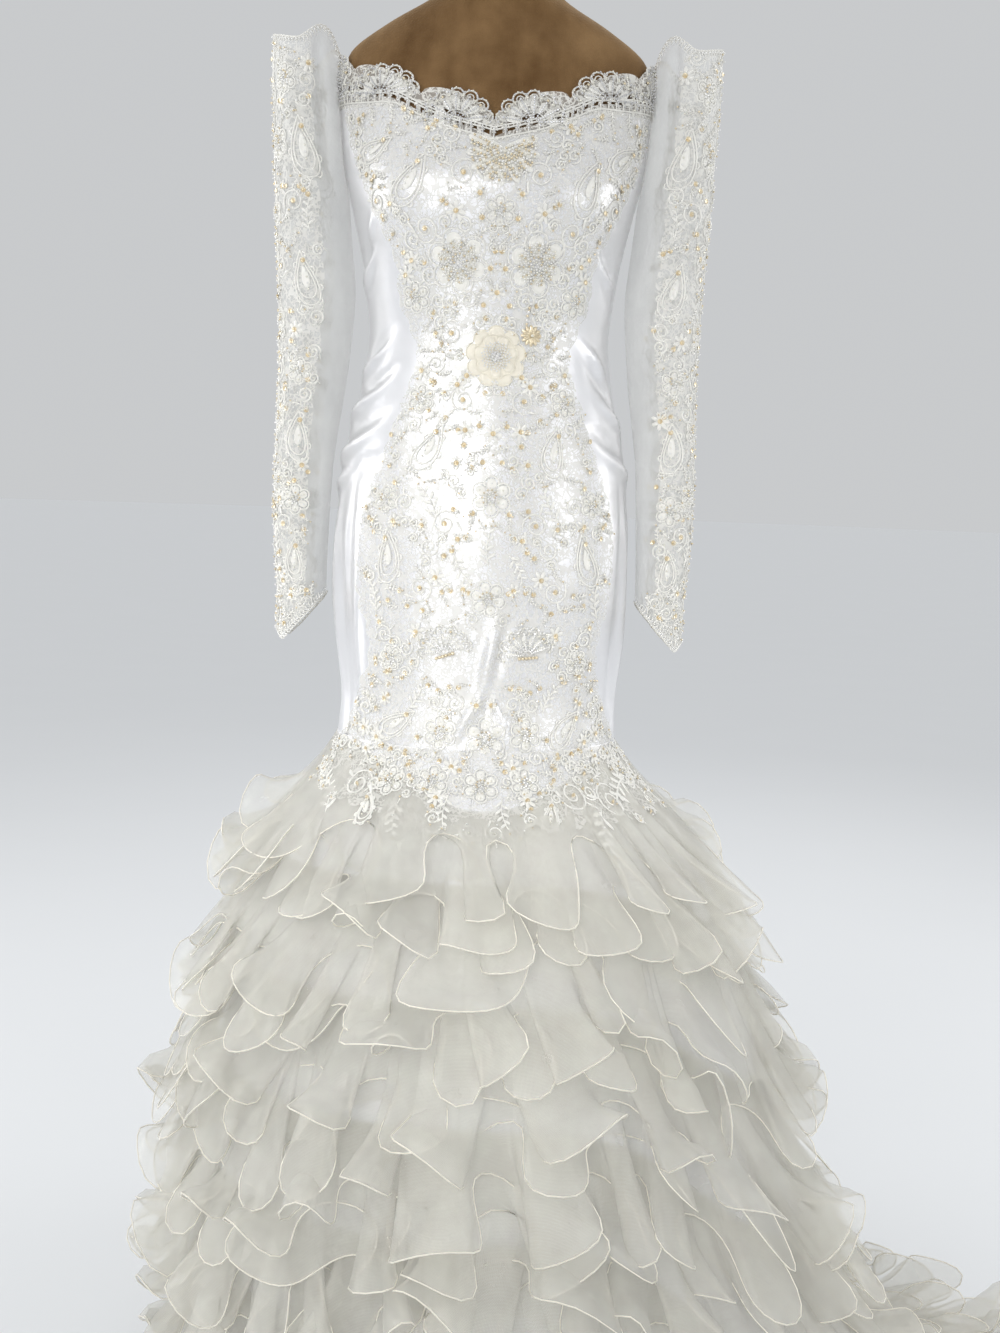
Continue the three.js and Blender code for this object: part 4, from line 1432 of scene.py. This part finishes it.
def flounce_points(order, layer, lobes, columns, rows):
    """A layer of a flounce as a closed ring of points, in rows from its seam to its hem."""
    sewn, hem, stand, swing = (FLOUNCES[name][order] for name in ("sewn", "hem", "stand", "swing"))
    hem = sewn + (hem - sewn) * LAYERS["share"][layer]
    sewn = sewn + 0.002 * layer
    stand = stand * LAYERS["close"][layer]
    seed = 40 + 10 * order + 3 * layer
    circle = np.arange(361)
    line = SKIRT.at(circle, np.full(361, hem), stand)
    run = np.concatenate([[0], np.cumsum(np.linalg.norm(np.diff(line, axis=0), axis=1))])
    u = np.linspace(0, lobes, columns + 1)[:-1][None]
    v = (np.linspace(0, 1, rows) ** 0.8)[:, None]
    pitch = run[-1] / lobes
    fours = lobes // 4
    turns = (u + 0.9 * wander(u * fours / lobes, fours, seed + 5)) / lobes
    base = np.interp((turns % 1) * run[-1], run, circle) + 360 * np.floor(turns)
    if order == 0:
        sewn = sewn + first_seam(base)
        hem = hem + 0.35 * first_seam(base)
    theta = math.tau * (u + 0.3 * wander(u, lobes, seed))
    bold = 1 + 0.4 * wander(u + 0.5, lobes, seed + 1)
    lean = wander(u, lobes, seed + 2)
    curl = np.clip(0.4 + 1.1 * wander(u + 0.3, lobes, seed + 3), 0, 1)
    groups = lobes // 3
    drop = wander(u * groups / lobes, groups, seed + 4)
    loose = bpy.context.scene.gown_sizes.swing
    length = (hem - sewn) * np.interp(base % 360, circle, SKIRT.length)
    outer = np.maximum(np.sin(theta), 0)
    off = 0.6 + stand * (1 + 0.3 * drop) * v**1.2 + loose * swing * bold * v**1.9 * np.sin(theta)
    gather = BEND["gather"] * np.sin(3 * theta + 2 * lean) * smooth(v, 0.0, 0.12) * (1 - v) ** 1.2
    crumple = BEND["crumple"] * np.sin(4 * theta + 5 * lean + 7 * v) * v * (1 - 0.8 * v)
    roll = loose * BEND["turn"] * curl * outer**1.3 * smooth(v, 0.56, 1.0)
    off = np.maximum(off + gather + crumple + BEND["radius"] * (1 - np.cos(roll)), 0.5)
    folded = (0.11 + 0.1 * bold) * v**2.2 * np.sin(2 * theta + 0.7 * lean)
    aside = loose * pitch * (0.6 * lean * v**2.4 - folded)
    hang = BEND["hang"] * bold * v**2.2 * (np.sin(theta + 1.6 * lean) + 0.2 * np.sin(2 * theta + 4 * drop))
    falls = v * (1 + 0.19 * loose * drop) + (loose * hang - BEND["radius"] * (roll - np.sin(roll))) / length
    share = np.clip(sewn + (hem - sewn) * falls, 0, 1)
    ahead = SKIRT.at(base + 0.5, 0 * base + hem, stand) - SKIRT.at(base - 0.5, 0 * base + hem, stand)
    turned_by = aside / np.linalg.norm(ahead, axis=-1)
    points = SKIRT.at(base + turned_by, share, off)
    points[..., 2] = np.maximum(points[..., 2], 1.6 + 2.0 * v)
    for _ in range(2):
        points = (np.roll(points, 1, 1) + 2 * points + np.roll(points, -1, 1)) / 4
    return points


class GOWN_OT_flounces(bpy.types.Operator):
    """Adds the organza flounces, each of three layers, the outer ones shorter, with rolled hems."""

    bl_idname = "gown.flounces"
    bl_label = "Flounces"

    def execute(self, context):
        for order, lobes in enumerate(FLOUNCES["lobes"]):
            for layer, fewer in enumerate(LAYERS["fewer"]):
                self.add_ruffle(order, layer, int(lobes - fewer))
        return {"FINISHED"}

    def add_ruffle(self, order, layer, lobes):
        """One layer of a flounce with its hem, from a curved strip that is longer along its hem."""
        columns, rows = lobes * 22, 9
        ring = flounce_points(order, layer, lobes, columns, rows)
        closed = np.concatenate([ring, ring[:, :1]], 1)
        flat = laid_flat(closed)
        name = f"flounce_{order + 1}_{LAYERS['name'][layer]}"
        nodes = () if layer else [f"flounce_{order + 1}_{quarter}" for quarter in QUARTERS]
        faces, laid = [grid_faces(rows, columns, True)], flat[:, :-1].reshape(-1, 2)
        made = add_piece(name + "_ruffle", ring.reshape(-1, 3), faces, "organza", laid, nodes)
        down = ring[-1] - ring[-2]
        hem = add_tube(name + "_hem", ring[-1], down, millimetres("hem_cord"), "hem")


class GOWN_OT_yoke(bpy.types.Operator):
    """Adds the scalloped lace band over the satin's top edge."""

    bl_idname = "gown.yoke"
    bl_label = "Lace yoke"

    def execute(self, context):
        work = Needlework(figure, 0.6)
        dips = SCALLOPS["angle"]
        for side in (1, -1):
            for start, end in zip(dips[:-1], dips[1:]):
                middle = side * (start + end) / 2
                foot = float(satin_edge(middle)) + 9
                top = float(scallop_edge(middle)) + 2
                ends = figure(np.array([side * start, side * end]), np.array([foot, foot]), 0)
                wide = float(np.linalg.norm(ends[1] - ends[0])) / 2
                work.lay(fan(wide * 0.98, max(top - foot, 0.7 * wide), 7), middle, foot, mirror=side < 0)
        step = 4.0
        for k in range(int(360 / step)):
            angle = wrapped(k * step)
            edge = float(satin_edge(angle))
            work.lay(motif("post", 4.5), float(angle), edge + 4.5)
            work.lay(motif("edge_loop", 3.6), float(angle), edge + 9.5)
        line = np.arange(0, 360.1, 1.5)
        for rise in (0.5, 9.5, 12.5):
            self.run_round(work, figure(line, satin_edge(line) + rise, work.lift))
        angle, share = np.meshgrid(np.linspace(-180, 180, 241), np.linspace(0, 1, 9))
        edge = satin_edge(angle)
        top = np.maximum(scallop_edge(angle), edge + 12)
        z = edge - 4 + (top - 1.5 - edge + 4) * share
        points = figure(angle, z, 0.25)
        cells = np.ones((8, 240), bool)
        cells[2:4, ::3] = False
        cells[2:4, 1::3] = False
        nodes = ("lace_yoke_front", "lace_yoke_back_left", "lace_yoke_back_right")
        net = add_cloth("yoke_net", points, "yoke_net", nodes, cells)
        cut(net, "stretched", ["satin_front"], work.finished("yoke"))
        return {"FINISHED"}

    def run_round(self, work, line):
        """A cord along a closed line of points on the figure."""
        out = line * (1, 1, 0)
        out /= np.linalg.norm(out, axis=1, keepdims=True)
        up = np.array([0, 0, 1.0])
        rings = [line - up * 0.9, line + out * 1.1 - up * 0.4, line + out * 1.1 + up * 0.4, line + up * 0.9]
        work.points.append(np.stack(rings, 1).reshape(-1, 3))
        work.quads.append(grid_faces(len(line), 4) + work.count)
        work.count += 4 * len(line)


class GOWN_OT_sleeves(bpy.types.Operator):
    """Adds the sheer sleeves with their lace motifs and beads."""

    bl_idname = "gown.sleeves"
    bl_label = "Sleeves"

    def execute(self, context):
        for name, side in (("left", 1), ("right", -1)):
            turn, share = np.meshgrid(np.linspace(-180, 180, 73), np.linspace(0, 1, 101))
            top, cuff = sleeve_rows(turn)
            points = sleeve(turn, cuff + (top - cuff) * share, 0.0, side)
            made = add_cloth("sleeve_net_" + name, points, "sleeve_net", ("sleeve_" + name,))
            work = Needlework(lambda t, z, out: sleeve(t, z, out, side), 0.5)
            placed = []
            for kind, across, z, size, spin in zip(*SLEEVE_MOTIFS.values()):
                for face in (-1, 1):
                    work.lay(motif(kind, size), face * across, float(z), spin * face, mirror=face > 0)
                    placed.append((face * across, z, size))
            fill(work, placed, (812, 1412), sleeve_room, (0, 0.62), 900, 11 + side)
            lace_turn, lace_share = np.meshgrid(np.linspace(-1, 1, 55), np.linspace(0, 1, 111))
            lace_turn = lace_turn * (104 + 5 * np.abs(np.sin(lace_share * 50)))
            top, cuff = sleeve_rows(lace_turn)
            ground = sleeve(lace_turn, cuff + (top - cuff) * lace_share, 0.35, side)
            lace = add_cloth("sleeve_lace_ground_" + name, ground, "lace_ground")
            for k in range(60):
                spot = -180 + 6 * k
                top, cuff = sleeve_rows(spot)
                if abs(spot) < 150:
                    work.lay(motif("edge_loop", 4.2), spot, float(cuff) + 1, 180)
                work.lay(motif("edge_loop", 4.2), spot, float(top) - 3)
            for k in range(26):
                height = float(SLEEVE["z"][-1]) + 21.5 * k
                work.lay(motif("sprig", 10), 0 if k % 2 else -7, height, 180 if k % 2 else 160)
            for k in range(10):
                spot = -120 + 24 * k
                work.lay(motif("sprig", 9), spot, float(sleeve_rows(spot)[1]) + 12, 20 * (k % 3))
            cut(made, "hung", ["satin_front"], work.finished("sleeve_" + name))
            cut(lace, "stretched", ["sleeve_net_" + name])
        return {"FINISHED"}


class GOWN_OT_trunk_lace(bpy.types.Operator):
    """Adds the beaded lace over the trunk's front."""

    bl_idname = "gown.trunk_lace"
    bl_label = "Trunk lace"

    def execute(self, context):
        share, row = np.meshgrid(np.linspace(-1, 1, 91), np.linspace(0, 1, 131))
        z = KNEE - 0.3 + (1345 - KNEE) * row
        half = along(LACE_AREA, "z", z, "half") + 2.2 * np.abs(np.sin(z / 7.5))
        angle = LACE_CENTRE + share * half
        z = np.minimum(z, satin_edge(angle) - 1.5)
        made = add_cloth("trunk_lace_ground", trunk(angle, z, 0.45), "lace_ground")
        work = Needlework(trunk, 0.6)
        placed = [(LACE_CENTRE, ROSE["z"], 28), (SHELL["angle"], SHELL["z"], SHELL["size"])]
        for kind, across, z, size, spin in zip(*TRUNK_MOTIFS.values()):
            for side in (1, -1) if across > 2 else (1,):
                at = LACE_CENTRE + side * across
                work.lay(motif(kind, size), at, float(z), -side * spin, mirror=side > 0)
                placed.append((at, z, size))
        fill(work, placed, (704, 1335), trunk_room, (LACE_CENTRE, 2.4), 1500, 7)
        self.add_rose()
        cut(made, "stretched", ["satin_front"], work.finished("trunk_lace"))
        return {"FINISHED"}

    def add_rose(self):
        """The cream rose at the waist with a gold shell beside it."""
        petals = Needlework(trunk, 0.6, "petal")
        petals.lay(motif("rose", ROSE["size"]), ROSE["angle"], ROSE["z"])
        petals.finished("waist_rose")
        ribs = Needlework(trunk, 1.0, "gold")
        ribs.lay(motif("shell", SHELL["size"]), SHELL["angle"], SHELL["z"])
        ribs.finished("waist_shell")


def skirt_lace_surface(angle, up, out):
    """The skirt's outside just under the knee: satin down to the first flounce's seam, then the flounce."""
    share = np.clip(-np.asarray(up) / float(SKIRT.length[0]), 0.0005, 1)
    past = np.clip(share - 0.004 - first_seam(angle), 0, 1) / 0.14
    return SKIRT.at(angle, share, 1.3 + 26 * past**1.2 + out)


def skirt_room(across, up, size):
    """Whether a small motif of the skirt's lace fits at a place."""
    down = 92 - 0.55 * across
    return across < 76 and -up < down and up < -0.15 * size


class GOWN_OT_skirt_lace(bpy.types.Operator):
    """Adds the lace that runs on down over the skirt's satin and its first flounce."""

    bl_idname = "gown.skirt_lace"
    bl_label = "Skirt lace"

    def execute(self, context):
        down = float(SKIRT.length[0])
        side, share = np.meshgrid(np.linspace(-1, 1, 121), np.linspace(0, 1, 31))
        reach = 96 - 56 * np.abs(side) + 7 * np.abs(np.sin(side * 34))
        points = skirt_lace_surface(LACE_CENTRE + 72 * side, -reach * share, 0.2)
        ground = add_cloth("skirt_lace_ground", points[::-1], "lace_ground")
        work = Needlework(skirt_lace_surface, 0.5)
        placed = []
        for kind, across, share, size, spin in zip(*SKIRT_MOTIFS.values()):
            work.lay(motif(kind, size), float(across), -float(share) * down, float(spin))
            placed.append((across, -share * down, size))
        fill(work, placed, (-104, 0), skirt_room, (LACE_CENTRE, 2.7), 700, 23)
        cut(ground, "stretched", ["satin_front"], work.finished("skirt_lace"))
        return {"FINISHED"}


class GOWN_OT_buttons(bpy.types.Operator):
    """Adds the covered buttons and their loops down the centre back."""

    bl_idname = "gown.buttons"
    bl_label = "Buttons"

    def execute(self, context):
        angle = 180 - math.degrees(BUTTONS["beside"] / BUTTONS["back"])
        template, sides = self.cover()
        loops = Needlework(trunk, 0.6)
        for i in range(BUTTONS["count"]):
            z = BUTTONS["top"] - i * BUTTONS["pitch"]
            seat, above = (trunk(np.array([angle]), np.array([float(z)]), out) for out in (0.6, 1.6))
            spot = np.concatenate([seat, above - seat, [[0]]], 1)
            points, faces = copies(template, sides, spot, np.ones(1))
            name, nodes = f"covered_button_{i + 1}", (f"button_{i + 1}",)
            add_piece(name, points, faces, "satin", None, nodes)
            loop = Motif()
            loop.cord(arc(0, 0, 7.6, 100, 260, 9), 1.3)
            loops.lay(loop, angle, float(z))
        seam = Motif()
        seam.cord(np.column_stack([0 * np.arange(40), np.linspace(-310, 310, 40)]), 1.4, 0.8)
        loops.lay(seam, 180, 1016.0)
        loops.finished("button_loops")
        return {"FINISHED"}

    def cover(self):
        """Points and faces of one domed button, from its top down."""
        turns = np.linspace(0, math.tau, 24, endpoint=False)[None]
        radius = BUTTONS["radius"] * BUTTON_PROFILE["radius"][1:-1, None]
        height = BUTTON_PROFILE["height"]
        upright = height[1:-1, None] + 0 * turns
        rings = np.stack([radius * np.cos(turns), radius * np.sin(turns), upright], -1)
        points, (sides, top, under) = closed_body(rings, (0, 0, height[0]), (0, 0, height[-1]))
        return points, [sides[:, ::-1], top[:, ::-1], under[:, ::-1]]


class GOWN_OT_stage(bpy.types.Operator):
    """Adds the floor, soft lights and camera."""

    bl_idname = "gown.stage"
    bl_label = "Stage"

    def execute(self, context):
        scene = context.scene
        floor = add_floor()
        world = scene.world or bpy.data.worlds.new("studio")
        scene.world = world
        world.use_nodes = True
        sky = world.node_tree.nodes["Background"].inputs
        sky["Color"].default_value = (*SKY["colour"], 1)
        sky["Strength"].default_value = SKY["strength"]
        for name, place, aim, size, power, spread in zip(*LAMPS.values()):
            lamp = bpy.data.lights.new(name, "AREA")
            lamp.shape, lamp.size, lamp.energy = "DISK", size, power
            lamp.spread = math.radians(spread)
            light = bpy.data.objects.new(name, lamp)
            light.location = place
            light.rotation_euler = Vector(aim - place).to_track_quat("-Z", "Y").to_euler()
            scene.collection.objects.link(light)
        lens = bpy.data.cameras.new("camera")
        lens.lens, lens.sensor_width, lens.clip_start = CAMERA["lens"], 36, 0.01
        camera = bpy.data.objects.new("camera", lens)
        aim = Matrix.Rotation(CAMERA["rise"], 4, "X") @ Matrix.Rotation(CAMERA["lean"], 4, "Z")
        camera.matrix_world = Matrix.Translation(CAMERA["place"]) @ aim
        scene.collection.objects.link(camera)
        scene.camera = camera
        scene.cycles.transparent_max_bounces = 12
        scene.view_settings.view_transform = "Standard"
        return {"FINISHED"}


def add_floor():
    """A wide, plain floor with a fine grid, so that it can be looked at from any side."""
    angle, reach = np.meshgrid(np.linspace(0, 360, 65)[:-1], np.array([0.02, 0.5, 1, 2, 4, 9, 20, 45]))
    turn = np.radians(angle)
    points = np.stack([reach * np.cos(turn), reach * np.sin(turn), 0 * turn], -1).reshape(-1, 3)
    mesh = bpy.data.meshes.new("floor")
    faces = [list(map(int, face)) for face in grid_faces(8, 64, True)] + [list(range(63, -1, -1))]
    mesh.from_pydata(points.tolist(), [], faces)
    mesh.materials.append(finish("floor"))
    floor = bpy.data.objects.new("floor", mesh)
    bpy.context.scene.collection.objects.link(floor)
    return floor


STEPS = (
    GOWN_OT_stage,
    GOWN_OT_form,
    GOWN_OT_stand,
    GOWN_OT_satin_trunk,
    GOWN_OT_underskirt,
    GOWN_OT_flounces,
    GOWN_OT_yoke,
    GOWN_OT_sleeves,
    GOWN_OT_trunk_lace,
    GOWN_OT_skirt_lace,
    GOWN_OT_buttons,
)


class GOWN_PT_parts(bpy.types.Panel):
    """Lists the gown's pieces, sizes and colours."""

    bl_idname = "GOWN_PT_parts"
    bl_label = "Gown"
    bl_space_type = "VIEW_3D"
    bl_region_type = "UI"
    bl_category = "Gown"

    def draw(self, context):
        column = self.layout.column(align=True)
        for step in STEPS:
            column.operator(step.bl_idname)
        for group in (context.scene.gown_sizes, context.scene.gown_colours):
            box = self.layout.box()
            for name in group.bl_rna.properties.keys():
                if name not in ("rna_type", "name"):
                    box.prop(group, name)


CLASSES = (GownSizes, GownColours, *STEPS, GOWN_PT_parts)


def register():
    for each in CLASSES:
        bpy.utils.register_class(each)
    bpy.types.Scene.gown_sizes = bpy.props.PointerProperty(type=GownSizes)
    bpy.types.Scene.gown_colours = bpy.props.PointerProperty(type=GownColours)


def unregister():
    del bpy.types.Scene.gown_sizes
    del bpy.types.Scene.gown_colours
    for each in reversed(CLASSES):
        bpy.utils.unregister_class(each)


def main():
    register()
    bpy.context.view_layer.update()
    for step in STEPS:
        group, name = step.bl_idname.split(".")
        if getattr(getattr(bpy.ops, group), name)() != {"FINISHED"}:
            raise RuntimeError(step.bl_label + " wasn't finished")


if __name__ == "__main__":
    main()
